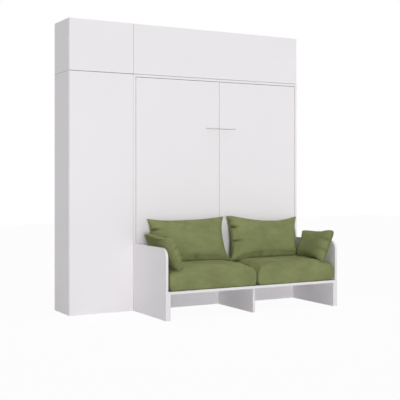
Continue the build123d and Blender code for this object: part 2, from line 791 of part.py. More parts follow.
# ---- sofa ---------------------------------------------------------------------------------
for side, sign in sides:
    with BuildPart() as arm:
        with BuildSketch(Plane.YZ.offset(bed_x + sign * inner_half)):
            with Locations(((sofa_y + front_y) / 2, (arm_height + glide_height) / 2)):
                Rectangle(sofa_reach, arm_height - glide_height)
            fillet(vertices().group_by(Axis.Y)[-1].sort_by(Axis.X)[0:1], arm_corner_radius)
        extrude(amount=sign * board)
    write(arm, f"sofa_arm_{side}")

with BuildPart() as seat_panel:
    block(bed_x - inner_half, bed_x + inner_half, sofa_y, front_y, seat_height - board, seat_height)
    chamfer(seat_panel.edges().filter_by(Axis.X).group_by(Axis.Y)[0], edge_round)
write(seat_panel, "sofa_seat_panel")

with BuildPart() as supports:
    for side, sign in sides:
        block(bed_x + sign * (inner_half - board), bed_x + sign * inner_half, sofa_y, front_y,
              glide_height, seat_height - board)
    block(bed_x - board / 2, bed_x + board / 2, sofa_y + centre_setback, front_y,
          glide_height, seat_height - board)
write(supports, "sofa_supports")

with BuildPart() as seat_brackets:
    for share in (-0.7, -0.3, 0.3, 0.7):
        x = bed_x + share * inner_half
        block(x, x + bracket_length, front_y - bracket_wall, front_y,
              seat_height - board - bracket_leg, seat_height - board)
        block(x, x + bracket_length, front_y - bracket_leg, front_y,
              seat_height - board - bracket_wall, seat_height - board)
write(seat_brackets, "sofa_seat_brackets")

# ---- glides under every upright board -------------------------------------------------------
glide_places = [
    (bed_x + sign * (inner_half + board / 2), y)
    for side, sign in sides
    for y in (sofa_y + glide_inset, front_y - glide_inset, front_y + glide_inset, back_y - glide_inset)
]
glide_places += [
    (x, y)
    for x in (left + board / 2, seam_x - board / 2)
    for y in (carcass_y + glide_inset, back_y - glide_inset)
]
glide_places += [(bed_x, sofa_y + centre_setback + glide_inset), (bed_x, front_y - glide_inset)]
with BuildPart() as glides:
    for x, y in glide_places:
        bar_z(x, y, 0, glide_height, glide_radius)
write(glides, "floor_glides")

# ---- loose cushions -------------------------------------------------------------------------
seat_cushion_half = (inner_half - cushion_gap) / 2
seat_cushion_base = seat_height + soft_gap
seat_cushion_top = seat_cushion_base + seat_cushion_height
seat_cushion_side = seat_cushion_top - seat_cushion_crown
for side, sign in sides:
    cushion_x = bed_x + sign * inner_half / 2
    with BuildPart() as seat_cushion:
        with BuildSketch(Plane.XZ.offset(cushion_gap / 2 - front_y)) as seat_profile:
            with BuildLine():
                crown = ThreePointArc((cushion_x - seat_cushion_half, seat_cushion_side),
                                      (cushion_x, seat_cushion_top),
                                      (cushion_x + seat_cushion_half, seat_cushion_side))
                Polyline(crown @ 1, (cushion_x + seat_cushion_half, seat_cushion_base),
                         (cushion_x - seat_cushion_half, seat_cushion_base), crown @ 0)
            make_face()
            fillet(seat_profile.vertices().group_by(Axis.Y)[-1], seat_cushion_roll)
            fillet(seat_profile.vertices().group_by(Axis.Y)[0], seat_cushion_round)
        extrude(amount=sofa_reach - cushion_gap)
        fillet(seat_cushion.faces().filter_by(Axis.Y).edges(), seat_cushion_round * cushion_end_share)
    write(seat_cushion, f"seat_cushion_{side}")


def tilted_reach(thickness, height, radius, tilt):
    """Half width and half height that a rounded rectangle covers when it is turned by tilt degrees."""
    across = (height / 2 - radius) * sin(radians(tilt)) + (thickness / 2 - radius) * cos(radians(tilt))
    up = (height / 2 - radius) * cos(radians(tilt)) + (thickness / 2 - radius) * sin(radians(tilt))
    return across + radius, up + radius


# A back cushion stands on the crown of its seat cushion and leans on the bed's fronts.
back_round = back_cushion_thickness / 3
back_across, back_up = tilted_reach(back_cushion_thickness, back_cushion_height, back_round,
                                    back_cushion_lean)
back_centre_y = front_y - soft_gap - back_across
back_centre_x = (back_cushion_gap + back_cushion_width) / 2
for side, sign in sides:
    with BuildPart() as back_cushion:
        with BuildSketch(Plane.YZ.offset(bed_x + sign * back_centre_x - back_cushion_width / 2)):
            with Locations((back_centre_y, seat_cushion_top + soft_gap + back_up)):
                RectangleRounded(back_cushion_thickness, back_cushion_height, back_round,
                                 rotation=-back_cushion_lean)
        extrude(amount=back_cushion_width)
        fillet(back_cushion.faces().filter_by(Axis.X).edges(), back_round * cushion_end_share)
    write(back_cushion, f"back_cushion_{side}")

# A pillow leans on the inner top edge of its arm, and its lowest round rests on the crown of the
# seat cushion. Both places are worked out from the middle of the bed, along the pillow's slope
# and square to it.
pillow_round = pillow_thickness / 3
lean_sin = sin(radians(pillow_lean))
lean_cos = cos(radians(pillow_lean))
crown_radius = (seat_cushion_half**2 + seat_cushion_crown**2) / (2 * seat_cushion_crown)
crown_z = seat_cushion_top - crown_radius
crown_along = inner_half / 2 * lean_sin + crown_z * lean_cos
crown_square = inner_half / 2 * lean_cos - crown_z * lean_sin
pillow_square = inner_half * lean_cos - arm_height * lean_sin - pillow_thickness / 2 - soft_gap
round_square = pillow_square + pillow_thickness / 2 - pillow_round - crown_square
round_along = sqrt((crown_radius + pillow_round + soft_gap)**2 - round_square**2)
pillow_along = crown_along + round_along + pillow_height / 2 - pillow_round
pillow_centre_x = pillow_square * lean_cos + pillow_along * lean_sin
pillow_centre_z = pillow_along * lean_cos - pillow_square * lean_sin
pillow_back_y = back_centre_y - back_across - pillow_back_gap
for side, sign in sides:
    with BuildPart() as pillow:
        with BuildSketch(Plane.XZ.offset(-pillow_back_y)):
            with Locations((bed_x + sign * pillow_centre_x, pillow_centre_z)):
                RectangleRounded(pillow_thickness, pillow_height, pillow_round, rotation=-sign * pillow_lean)
        extrude(amount=pillow_width)
        fillet(pillow.faces().filter_by(Axis.Y).edges(), pillow_round * cushion_end_share)
    write(pillow, f"throw_pillow_{side}")
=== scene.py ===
import math
from typing import Callable, NamedTuple

import bpy
import numpy as np
from bpy.props import FloatProperty, FloatVectorProperty, IntProperty, PointerProperty
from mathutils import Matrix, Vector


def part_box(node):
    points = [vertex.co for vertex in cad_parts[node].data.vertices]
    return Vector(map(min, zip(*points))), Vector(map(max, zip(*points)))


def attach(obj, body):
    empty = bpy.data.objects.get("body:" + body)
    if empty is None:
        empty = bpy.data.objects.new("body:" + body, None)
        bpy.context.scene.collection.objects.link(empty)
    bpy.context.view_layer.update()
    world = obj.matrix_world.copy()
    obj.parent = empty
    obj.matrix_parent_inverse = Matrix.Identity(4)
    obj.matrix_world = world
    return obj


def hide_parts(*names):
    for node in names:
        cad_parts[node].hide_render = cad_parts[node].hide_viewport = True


bl_info = {
    "name": "Wall bed with sofa",
    "version": (1, 0, 0),
    "blender": (4, 5, 0),
    "location": "View3D > Sidebar > Wall bed",
    "description": "Finishes, cushions, mattress and studio for a folding wall bed with a sofa",
    "category": "Object",
}

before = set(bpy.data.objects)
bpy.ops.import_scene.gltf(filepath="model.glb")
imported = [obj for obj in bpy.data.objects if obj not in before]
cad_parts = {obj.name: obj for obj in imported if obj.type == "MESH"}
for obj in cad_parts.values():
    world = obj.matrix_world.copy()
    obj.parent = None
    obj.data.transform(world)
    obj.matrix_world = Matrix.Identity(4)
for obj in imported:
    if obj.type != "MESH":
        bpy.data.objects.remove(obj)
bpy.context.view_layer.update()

MM = 0.001
SIDES = (("left", -1), ("right", 1))

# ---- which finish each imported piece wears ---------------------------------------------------
BOARD_NODES = (
    "bed_cabinet_side_left", "bed_cabinet_side_right", "bed_cabinet_top", "bed_cabinet_lower_front",
    "bed_cabinet_back_rails", "bed_cabinet_back_stile", "column_side_left", "column_side_right",
    "column_boards", "column_shelves", "small_top_sides", "wide_top_sides", "top_unit_boards",
    "sofa_arm_left", "sofa_arm_right", "sofa_seat_panel", "sofa_supports",
    "bed_front_left", "bed_front_right", "column_door", "small_top_door", "wide_flap",
)
STACKED_NODES = ("column_side_left", "small_top_sides", "bed_cabinet_side_right", "wide_top_sides")
HARDWARE_NODES = {
    "back_panel": ("bed_cabinet_back_panels", "unit_back_panels"),
    "powder_steel": ("bed_side_rails", "bed_end_rails", "bed_centre_rail", "foot_bar", "bed_levers"),
    "zinc_steel": ("bed_front_brackets", "bed_pivot_plates", "gas_anchor_plates", "door_pivot_plates",
                   "flap_hinges", "flap_stay_brackets", "sofa_seat_brackets", "column_hanging_rail"),
    "handle_metal": ("bed_handle",),
    "strut_paint": ("strut_cylinder_left", "strut_cylinder_right", "stay_cylinder_left",
                    "stay_cylinder_right"),
    "rod_chrome": ("strut_rod_left", "strut_rod_right", "stay_rod_left", "stay_rod_right"),
    "grey_plastic": ("bed_slat_holders", "bed_rail_caps"),
    "white_plastic": ("floor_glides",),
    "birch": ("bed_slats",),
    "black_rubber": ("foot_bar_pads",),
    "bush_brass": ("bed_pivot_bushes",),
}


# ---- materials ------------------------------------------------------------------------------
class Wire:
    """A number on its way through a material: + - and * put Math nodes behind it."""

    def __init__(self, finish, socket):
        self.finish = finish
        self.socket = socket

    def maths(self, operation, first, second=0.0, clamp=False):
        """A Math node on two values or wires."""
        settings = {"operation": operation, "use_clamp": clamp}
        return self.finish.node("Math", settings, {0: first, 1: second})

    def __add__(self, other):
        return self.maths("ADD", self, other)

    def __radd__(self, other):
        return self.maths("ADD", other, self)

    def __sub__(self, other):
        return self.maths("SUBTRACT", self, other)

    def __rsub__(self, other):
        return self.maths("SUBTRACT", other, self)

    def __mul__(self, other):
        return self.maths("MULTIPLY", self, other)

    def __rmul__(self, other):
        return self.maths("MULTIPLY", other, self)

    def step(self, low, high):
        """Smooth ramp from 0 at low to 1 at high."""
        settings = {"interpolation_type": "SMOOTHSTEP"}
        return self.finish.node("MapRange", settings, {"Value": self, "From Min": low, "From Max": high})

    def clip(self):
        """The same number, held between 0 and 1."""
        return self.maths("ADD", self, 0.0, clamp=True)


SOCKETS = {
    "colour": "Base Color", "roughness": "Roughness", "metallic": "Metallic", "normal": "Normal",
    "sheen": "Sheen Weight", "sheen_roughness": "Sheen Roughness", "sheen_tint": "Sheen Tint",
    "coat": "Coat Weight", "coat_roughness": "Coat Roughness", "specular": "Specular IOR Level",
}


class Finish:
    """One material. Plain values go straight to the shader, patterns come from node()."""

    def __init__(self, name, **plain):
        self.material = bpy.data.materials.new(name)
        self.material.use_nodes = True
        self.tree = self.material.node_tree
        self.shader = self.tree.nodes["Principled BSDF"]
        for words, value in plain.items():
            self.shader.inputs[SOCKETS[words]].default_value = value

    def node(self, kind, settings=(), inputs=(), output=0):
        """Any node: its type, its settings, then the values or wires of its sockets."""
        made = self.tree.nodes.new("ShaderNode" + kind)
        for key, value in dict(settings).items():
            setattr(made, key, value)
        for key, value in dict(inputs).items():
            if isinstance(value, Wire):
                self.tree.links.new(value.socket, made.inputs[key])
            else:
                made.inputs[key].default_value = value
        return Wire(self, made.outputs[output])

    def place(self, stretch=(1.0, 1.0, 1.0), turn=(0.0, 0.0, 0.0)):
        """Object coordinates in metres, multiplied by stretch after the turn."""
        raw = self.node("TexCoord", output="Object")
        return self.node("Mapping", {}, {"Vector": raw, "Scale": stretch, "Rotation": turn})

    def along(self, axis):
        """One of the Object coordinates, in metres."""
        return self.node("SeparateXYZ", {}, {0: self.node("TexCoord", output="Object")}, output=axis)

    def noise(self, scale, detail=2.0, stretch=(1.0, 1.0, 1.0), rough=0.5):
        """Cloudy noise on Object coordinates."""
        inputs = {"Vector": self.place(stretch), "Scale": scale, "Detail": detail, "Roughness": rough}
        return self.node("TexNoise", {}, inputs)

    def bands(self, direction, scale, distortion, turn=(0.0, 0.0, 0.0)):
        """Soft bands one after another along an axis, on Object coordinates turned by turn."""
        settings = {"wave_type": "BANDS", "bands_direction": direction}
        inputs = {"Vector": self.place(turn=turn), "Scale": scale, "Distortion": distortion}
        return self.node("TexWave", settings, inputs)

    def attribute(self, name):
        """A number that each point of the mesh carries."""
        return self.node("Attribute", {"attribute_name": name}, output="Fac")

    def blend(self, amount, first, second):
        """Colour between first and second, each a colour of four numbers or a wire."""
        return self.node("Mix", {"data_type": "RGBA"}, {0: amount, 6: first, 7: second}, output=2)

    def shades(self, amount, tone, low, high):
        """A tone made darker or lighter, from low to high times itself."""
        return self.blend(amount, colour(tone, low), colour(tone, high))

    def drive(self, words, wire):
        """Feeds a wire to one of the shader's sockets."""
        self.tree.links.new(wire.socket, self.shader.inputs[SOCKETS[words]])

    def surface(self, tint, roughness, height, depth, strength):
        """Sets colour and roughness, raises it by depth where height is 1, and returns the material."""
        self.drive("colour", tint)
        self.drive("roughness", roughness)
        inputs = {"Height": height, "Distance": depth, "Strength": strength}
        self.drive("normal", self.node("Bump", {}, inputs))
        return self.material


def colour(value, gain=1.0):
    """A colour property as four numbers, lighter or darker by gain."""
    return (value[0] * gain, value[1] * gain, value[2] * gain, 1.0)


def board_finish(name, tone, along, shadow_height=None):
    """Melamine board: faint pores drawn out along the board, and a slight cloud in tone and gloss.

    joint is the height of a hairline of shadow where two stacked cabinets meet.
    """
    made = Finish(name, coat=0.08, coat_roughness=0.35, specular=0.35)
    cloud = made.noise(2.3, 3.0)
    stretch = tuple(0.12 if axis == along else 1.0 for axis in range(3))
    pores = made.noise(520.0, 3.0, stretch, 0.6)
    fleck = made.noise(1900.0, 1.0)
    tint = made.shades((cloud * 0.6 + pores * 0.4).clip(), tone, 0.975, 1.015)
    if shadow_height is not None:
        # Painted shadow: a hairline darkened where the two stacked cabinets meet.
        away = made.along(2) - shadow_height
        tint = made.blend((away * away).step(0.5 * MM ** 2, 4.0 * MM ** 2), colour(tone, 0.45), tint)
    roughness = 0.43 + cloud * 0.1 + pores * 0.06
    return made.surface(tint, roughness, pores * 0.7 + fleck * 0.3, 0.05 * MM, 0.6)


def back_panel_finish(name, tone):
    """Thin lacquered fibre board, duller and a little greyer than the boards."""
    made = Finish(name, specular=0.25)
    fibre = made.noise(260.0, 4.0, (1.0, 1.0, 0.5), 0.7)
    return made.surface(made.shades(fibre, tone, 0.9, 0.97), 0.62 + fibre * 0.12, fibre, 0.08 * MM, 0.5)


def velvet_finish(name, tone, shade_colour):
    """Short-pile velvet: pile brushed in broad patches, and painted shade in folds, along seams and on the
    pillows' shaded sides.
    """
    made = Finish(name, sheen=0.28, sheen_roughness=0.45, sheen_tint=colour(tone, 1.5), specular=0.12)
    patch = made.noise(5.5, 3.0, (1.0, 1.0, 1.6), 0.55)
    brush = made.noise(26.0, 3.0, (0.55, 0.55, 1.0), 0.6)
    pile = made.noise(900.0, 2.0)
    nap_and_shade = (patch.step(0.32, 0.68) * 0.55 + brush.step(0.3, 0.7) * 0.3 + pile * 0.15).clip()
    face = made.shades(nap_and_shade, tone, 0.84, 1.17)
    # Painted shade: the cloth turns towards the shade colour where the mesh's painted-shade attribute is
    # high, in creases, near seams and on the pillows' shaded sides.
    painted_shade = made.attribute("painted_shade").clip()
    return made.surface(made.blend(painted_shade, face, colour(shade_colour)), 0.86 + pile * 0.1,
                        pile * 0.6 + brush * 0.4, 0.35 * MM, 0.55)


def welt_finish(name, tone):
    """Bound edge of the cushions: the same cloth, wound and a little lighter where it is rubbed."""
    made = Finish(name, sheen=0.35, sheen_roughness=0.4, sheen_tint=colour(tone, 1.5), specular=0.15)
    pile = made.noise(1100.0, 2.0)
    patch = made.noise(30.0, 2.0)
    return made.surface(made.shades(patch, tone, 1.0, 1.2), 0.8 + pile * 0.12, pile, 0.3 * MM, 0.6)


def knit_finish(name, tone, middle, pitch):
    """Stretch knit of a mattress: rows of small loops, and stitches along crossed quilting lines.

    The lines run through middle at 45 degrees, pitch apart across the width, and show where the
    attribute that carries the painted shade is more than 0. Each is a dash of thread for 6 of every 8 mm.
    The same attribute paints shade into the quilted grooves.
    """
    made = Finish(name, sheen=0.15, sheen_roughness=0.5, specular=0.15)
    over, up = made.along(0) - middle[0], made.along(2) - middle[2]
    painted_shade = made.attribute("painted_shade").clip()
    thread = 0.0
    for line, run in ((over + up, over - up), (over - up, over + up)):
        near = 1.0 - to_lattice(line, pitch).step(1.2 * MM, 2.6 * MM)
        dash = to_lattice(run, 8.0 * MM).step(0.6 * MM, 1.2 * MM)
        thread = thread + near * dash
    thread = (thread * painted_shade).clip()
    knit = made.bands("Z", 130.0, 0.4) * 0.5 + made.bands("X", 110.0, 0.4) * 0.5
    cloud = made.noise(7.0, 3.0)
    face = made.shades(cloud, tone, 0.95, 1.03)
    # Painted shade: the cover darkens towards 0.82 of its tone in the quilted grooves.
    face = made.blend(painted_shade * 0.5, face, colour(tone, 0.82))
    return made.surface(made.blend(thread, face, colour(tone, 0.5)), 0.85 + knit * 0.1,
                        knit * 0.5 + cloud * 0.3 + thread * -0.6, 0.4 * MM, 0.5)


def to_lattice(distance, pitch):
    """Distance to the nearest of parallel lines a pitch apart, as a zigzag."""
    return distance.maths("PINGPONG", distance, pitch / 2.0)


def webbing_finish(name, tone):
    """Elastic webbing: a tight twill of ribs across the band."""
    made = Finish(name, sheen=0.1, specular=0.25)
    twill = made.bands("X", 260.0, 0.2, (0.0, math.radians(38.0), 0.0))
    return made.surface(made.shades(twill, tone, 0.7, 1.1), 0.7 + twill * 0.15, twill, 0.3 * MM, 0.8)


def painted_finish(name, tone, roughness, peel, coat=0.0):
    """Powder coat or sprayed paint with the fine orange peel of its skin."""
    made = Finish(name, coat=coat, coat_roughness=0.12, specular=0.4)
    grain = made.noise(peel, 2.0)
    cloud = made.noise(9.0, 3.0)
    return made.surface(made.shades(cloud, tone, 0.9, 1.1), roughness + grain * 0.1,
                        grain, 0.12 * MM, 0.6)


def metal_finish(name, tone, roughness, brush, along=0):
    """Bare or plated metal with brush marks drawn out along one axis and a faint cloud of plating."""
    made = Finish(name, metallic=1.0)
    stretch = tuple(0.03 if axis == along else 1.0 for axis in range(3))
    marks = made.noise(brush, 3.0, stretch, 0.6)
    cloud = made.noise(22.0, 3.0)
    return made.surface(made.shades(cloud, tone, 0.92, 1.0), roughness + marks * 0.16 + cloud * 0.05,
                        marks, 0.03 * MM, 0.5)


def moulded_finish(name, tone, roughness):
    """Moulded plastic or rubber with a fine spark-eroded grain."""
    made = Finish(name, specular=0.4)
    grain = made.noise(1400.0, 2.0)
    cloud = made.noise(30.0, 2.0)
    return made.surface(made.shades(cloud, tone, 0.92, 1.06), roughness + grain * 0.18,
                        grain, 0.06 * MM, 0.7)


def birch_finish(name, tone):
    """Pressed birch slats: long figure along the slat, fine pores and thin glue lines of the plies."""
    made = Finish(name, coat=0.15, coat_roughness=0.3, specular=0.35)
    figure = made.noise(34.0, 5.0, (0.07, 1.0, 1.0), 0.6)
    pores = made.noise(900.0, 2.0, (0.05, 1.0, 1.0), 0.6)
    plies = made.bands("Y", 210.0, 0.15)
    wood = (figure.step(0.3, 0.7) * 0.7 + plies * 0.3).clip()
    face = made.shades(wood, tone, 0.78, 1.12)
    return made.surface(made.blend(pores.step(0.62, 0.75) * 0.5, face, colour(tone, 0.5)),
                        0.42 + pores * 0.2, pores * 0.6 + figure * 0.4, 0.1 * MM, 0.6)


# ---- sizes and colours that a user would change ---------------------------------------------
def colour_property(name, description, default):
    return FloatVectorProperty(name=name, description=description, subtype="COLOR", size=3,
                               default=default, min=0.0, max=1.0)


def length_property(name, description, default):
    return FloatProperty(name=name, description=description, default=default, min=0.0,
                         subtype="DISTANCE", unit="LENGTH")


def angle_property(name, description, degrees):
    return FloatProperty(name=name, description=description, default=math.radians(degrees),
                         subtype="ANGLE", unit="ROTATION")


class WallBedColours(bpy.types.PropertyGroup):
    board: colour_property("Board", "White of the melamine boards", (0.81, 0.79, 0.81))
    cloth: colour_property("Cushion cloth", "Green of the velvet", (0.212, 0.234, 0.102))
    # Colour of the painted shade in folds, along seams and on the pillows' shaded sides.
    cloth_shade: colour_property("Cloth in folds", "Green in seams and folds", (0.085, 0.1, 0.035))
    mattress: colour_property("Mattress", "White of the mattress knit", (0.78, 0.77, 0.74))
    webbing: colour_property("Webbing", "Grey of the mattress straps", (0.2, 0.2, 0.21))
    steel: colour_property("Bed frame", "Grey powder coat of the steel frame", (0.13, 0.135, 0.14))
    birch: colour_property("Slats", "Pale brown of the birch slats", (0.66, 0.48, 0.29))


class WallBedCushions(bpy.types.PropertyGroup):
    seat_roll: length_property("Seat roll", "Radius of the roll where the seat cushions meet", 0.08)
    seat_arm_roll: length_property("Seat arm roll", "Radius of a seat's edge along its arm", 0.024)
    seat_front_roll: length_property("Seat front roll", "Radius of a seat's front and back edge", 0.042)
    seat_crown: length_property("Seat crown", "Rise of the middle of a seat cushion", 0.032)
    back_height: length_property("Back height", "Height of a back cushion along its lean", 0.392)
    back_depth: length_property("Back thickness", "Thickness of a back cushion before air", 0.150)
    back_draw: length_property("Back draw-in", "How far the sides pull in between the corners", 0.034)
    back_sag: length_property("Back sag", "How far the top sags between the corners", 0.034)
    back_lean: angle_property("Back lean", "Lean of the back cushions", 11.0)
    pillow_height: length_property("Pillow height", "Height of a throw pillow along its lean", 0.292)
    pillow_depth: length_property("Pillow thickness", "Thickness of a throw pillow before air", 0.098)
    pillow_draw: length_property("Pillow draw-in", "How far a pillow's top and bottom pull in", 0.012)
    pillow_lean: angle_property("Pillow lean", "Lean of the throw pillows", 21.0)
    air: FloatProperty(name="Air", description="Pressure that fills the cushions", default=4.0, min=0.0)
    frames: IntProperty(name="Steps", description="Steps of the cloth simulation", default=20, min=1)


class WallBedMattress(bpy.types.PropertyGroup):
    quilt_pitch: length_property("Quilting pitch", "Distance between the quilted lines", 0.135)
    quilt_depth: length_property("Quilting depth", "Depth of the quilted lines", 0.009)
    edge: length_property("Edge", "Radius of the mattress edge", 0.028)
    corner: length_property("Corner", "Radius of the mattress corners", 0.040)


# ---- surfaces -------------------------------------------------------------------------------
def unit_grid(columns, rows):
    """Two arrays of rows x columns that run from -1 to 1 across and up a panel."""
    return np.meshgrid(np.linspace(-1.0, 1.0, columns), np.linspace(-1.0, 1.0, rows))


def quads_of(ids, flip=False):
    """Faces of a grid of vertex numbers."""
    corners = [ids[:-1, :-1], ids[:-1, 1:], ids[1:, 1:], ids[1:, :-1]]
    faces = np.stack(corners, axis=-1).reshape(-1, 4)
    return faces[:, ::-1] if flip else faces


def closed_pair(front, back):
    """Joins two panels of rows x columns x 3 that share their outer ring into one closed skin.

    Returns the points, the faces and, for each panel, the number of the vertex at each grid place.
    """
    rows, columns = front.shape[:2]
    front_ids = np.arange(rows * columns).reshape(rows, columns)
    back_ids = front_ids.copy()
    back_ids[1:-1, 1:-1] = rows * columns + np.arange((rows - 2) * (columns - 2)).reshape(rows - 2, -1)
    points = np.concatenate([front.reshape(-1, 3), back[1:-1, 1:-1].reshape(-1, 3)])
    faces = np.concatenate([quads_of(front_ids), quads_of(back_ids, flip=True)])
    return points, faces, front_ids, back_ids


def ring_of(ids):
    """Vertex numbers round the outer edge of a grid, in order."""
    return np.concatenate([ids[0, :-1], ids[:-1, -1], ids[-1, :0:-1], ids[:0:-1, 0]])


def outward(points, faces):
    """The faces, turned over as a whole if the skin's signed volume is negative."""
    a, b, c, d = (points[faces[:, i]] for i in range(4))
    volume = np.einsum("ij,ij->i", a, np.cross(b, c)) + np.einsum("ij,ij->i", a, np.cross(c, d))
    return faces[:, ::-1] if volume.sum() < 0 else faces


def block(node):
    """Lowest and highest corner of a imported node, as arrays."""
    low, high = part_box(node)
    return np.array(low), np.array(high)


def make_piece(name, points, faces, material, body, slot, node=None, painted_shade=None):
    """Puts points and faces into a smooth object that rides on a body and may stand for a node."""
    mesh = bpy.data.meshes.new(name)
    mesh.from_pydata(points.tolist(), [], outward(points, faces).tolist())
    mesh.polygons.foreach_set("use_smooth", np.ones(len(mesh.polygons), bool))
    # Painted shade, where given, is stored on the points for the cloth and knit finishes to read.
    if painted_shade is not None:
        mesh.attributes.new("painted_shade", "FLOAT", "POINT").data.foreach_set("value", painted_shade.astype(np.float32))
    mesh.update()
    piece = bpy.data.objects.new(name, mesh)
    bpy.context.scene.collection.objects.link(piece)
    piece.data.materials.append(material)
    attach(piece, body)
    if node:
        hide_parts(node)
    return piece


def ripple(x, y, seed, wave, count=7):
    """Sum of plane waves in seeded directions, between about -1 and 1."""
    rng = np.random.default_rng(seed)
    angle = rng.uniform(0.0, 2.0 * math.pi, (count, 1, 1))
    phase = rng.uniform(0.0, 2.0 * math.pi, (count, 1, 1))
    pitch = wave * rng.uniform(0.7, 1.5, (count, 1, 1))
    along = x[None] * np.cos(angle) + y[None] * np.sin(angle)
    return np.sin(along * 2.0 * math.pi / pitch + phase).mean(axis=0) * 1.8


def tube_round(path, across, radius, sides=8):
    """Closed tube: a circle carried along a closed path, square to it and to across."""
    tangent = np.roll(path, -1, axis=0) - np.roll(path, 1, axis=0)
    tangent /= np.linalg.norm(tangent, axis=1, keepdims=True)
    side = np.cross(tangent, across)
    side /= np.linalg.norm(side, axis=1, keepdims=True)
    up = np.cross(side, tangent)
    turn = np.linspace(0.0, 2.0 * math.pi, sides, endpoint=False)[None, :, None]
    rings = path[:, None] + radius * (np.cos(turn) * side[:, None] + np.sin(turn) * up[:, None])
    ids = np.arange(len(path) * sides).reshape(len(path), sides)
    ids = np.concatenate([ids, ids[:1]])
    ids = np.concatenate([ids, ids[:, :1]], axis=1)
    return rings.reshape(-1, 3), quads_of(ids)


# ---- boards and fittings --------------------------------------------------------------------
class WALLBED_OT_boards(bpy.types.Operator):
    """Gives the boards, doors and front leaves their melamine"""

    bl_idname = "wall_bed.boards"
    bl_label = "Boards"

    def execute(self, context):
        tone = context.scene.wall_bed_colours.board
        upright = board_finish("white_board_upright", tone, 2)
        level = board_finish("white_board_level", tone, 0)
        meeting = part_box("column_side_left")[1][2]
        stacked = board_finish("white_board_stacked", tone, 2, meeting)
        for name in BOARD_NODES:
            low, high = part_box(name)
            wide = (high[0] - low[0]) > (high[2] - low[2])
            dress(name, level if wide else upright)
        for name in STACKED_NODES:
            dress(name, stacked)
        return {"FINISHED"}


def dress(name, material):
    """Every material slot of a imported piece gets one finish."""
    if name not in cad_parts:
        raise RuntimeError(f"the frame has no piece named {name}")
    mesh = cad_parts[name].data
    if not mesh.materials:
        mesh.materials.append(material)
    for index in range(len(mesh.materials)):
        mesh.materials[index] = material


class WALLBED_OT_hardware(bpy.types.Operator):
    """Gives the frame, fittings, slats and struts their metals, plastics and wood"""

    bl_idname = "wall_bed.hardware"
    bl_label = "Frame and fittings"

    def execute(self, context):
        tones = context.scene.wall_bed_colours
        finishes = {
            "back_panel": back_panel_finish("back_panel", tones.board),
            "powder_steel": painted_finish("powder_steel", tones.steel, 0.42, 700.0),
            "zinc_steel": metal_finish("zinc_steel", (0.62, 0.63, 0.65), 0.3, 300.0, 2),
            "handle_metal": metal_finish("handle_metal", (0.70, 0.69, 0.70), 0.34, 500.0, 0),
            "strut_paint": painted_finish("strut_paint", (0.012, 0.012, 0.013), 0.24, 400.0, 0.4),
            "rod_chrome": metal_finish("rod_chrome", (0.68, 0.69, 0.7), 0.07, 900.0, 2),
            "grey_plastic": moulded_finish("grey_plastic", (0.16, 0.165, 0.17), 0.5),
            "white_plastic": moulded_finish("white_plastic", (0.74, 0.74, 0.73), 0.45),
            "birch": birch_finish("birch", tones.birch),
            "black_rubber": moulded_finish("black_rubber", (0.02, 0.02, 0.021), 0.7),
            "bush_brass": metal_finish("bush_brass", (0.72, 0.5, 0.22), 0.28, 500.0, 0),
        }
        for finish, names in HARDWARE_NODES.items():
            for name in names:
                dress(name, finishes[finish])
        return {"FINISHED"}


# ---- cushions -------------------------------------------------------------------------------
# How the cloth of every cushion behaves while air fills it.
CLOTH = {"quality": 4, "mass": 0.25, "tension_stiffness": 18.0, "compression_stiffness": 18.0,
         "shear_stiffness": 6.0, "use_pressure": True}
# Seats: columns and rows of a panel, room kept for the air, share of the height at which top and
# underside meet, corner radius, bulge of the walls, and the underside's edge radii.
SEAT_GRID = (87, 73)
SEAT_SWELL = 0.005
SEAT_MEET = 0.4
SEAT_CORNER = 0.014
SEAT_BULGE = 0.010
SEAT_UNDER_ROLLS = (0.042, 0.042, 0.012)
# How much further the crown falls towards the arm, the height of the unevenness on it, how stiffly
# the cloth bends, the most that air moves a point, and how softly the cover is held in its block.
SEAT_ARM_FALL = 0.6
SEAT_UNEVEN = 0.0035
SEAT_STIFFNESS = 0.6
SEAT_CAP = 0.022
SEAT_EASE = np.array([0.0012, 0.0012, 0.003])
# Shift of the low and of the high corner of each seat's cover from its block's.
SEAT_FIT = {
    "left": (np.array([0.014, -0.006, 0.0]), np.array([0.018, -0.001, 0.0])),
    "right": (np.array([0.022, -0.006, 0.0]), np.array([0.0, -0.001, 0.0])),
}
# Knife-edged cushions: clearance to their neighbours, radius of the bound edge, how much the tips
# of the ears are cut back, how fast a corner's shift fades along both sides, the height of the
# unevenness, how stiffly the cloth bends, and the crease depth that gives full painted shade.
SEAM_CLEAR = 0.0006
WELT_RADIUS = 0.0022
EAR_BLUNT = 0.026
CORNER_POWER = 3.0
KNIFE_UNEVEN = 0.004
KNIFE_STIFFNESS = 0.3
FOLD_SHADE_DEPTH = 0.016


class KnifePlan(NamedTuple):
    """What tells one knife-edged cushion from another."""

    axes: tuple  # its width, up and out directions
    counts: tuple  # columns and rows of a panel
    seed: int  # for the ripple of its front
    sizes: tuple  # half width, half height and half depth
    draws: tuple  # how far its top sags, and its foot and its sides pull in
    hollow: float  # power of the top's sag
    forward: tuple  # how far the seam lies forward of the middle plane at the foot and at the top
    folds: tuple  # creases that start at the seam
    corners: dict  # shifts of its corners along its width, up and out
    floor: Callable  # height of what it stands on, for an array of points
    sink: float = 0.0  # how far its middle lies below the block's
    dip: float = 0.0  # how far along the top its lowest place is
    # Painted shade on the two sides of a pillow.
    nap_and_shade: tuple = (0.0, 0.0)  # shade added to the front, and the least shade of the back
    room: float = 0.0  # how far the top may lean back past the block


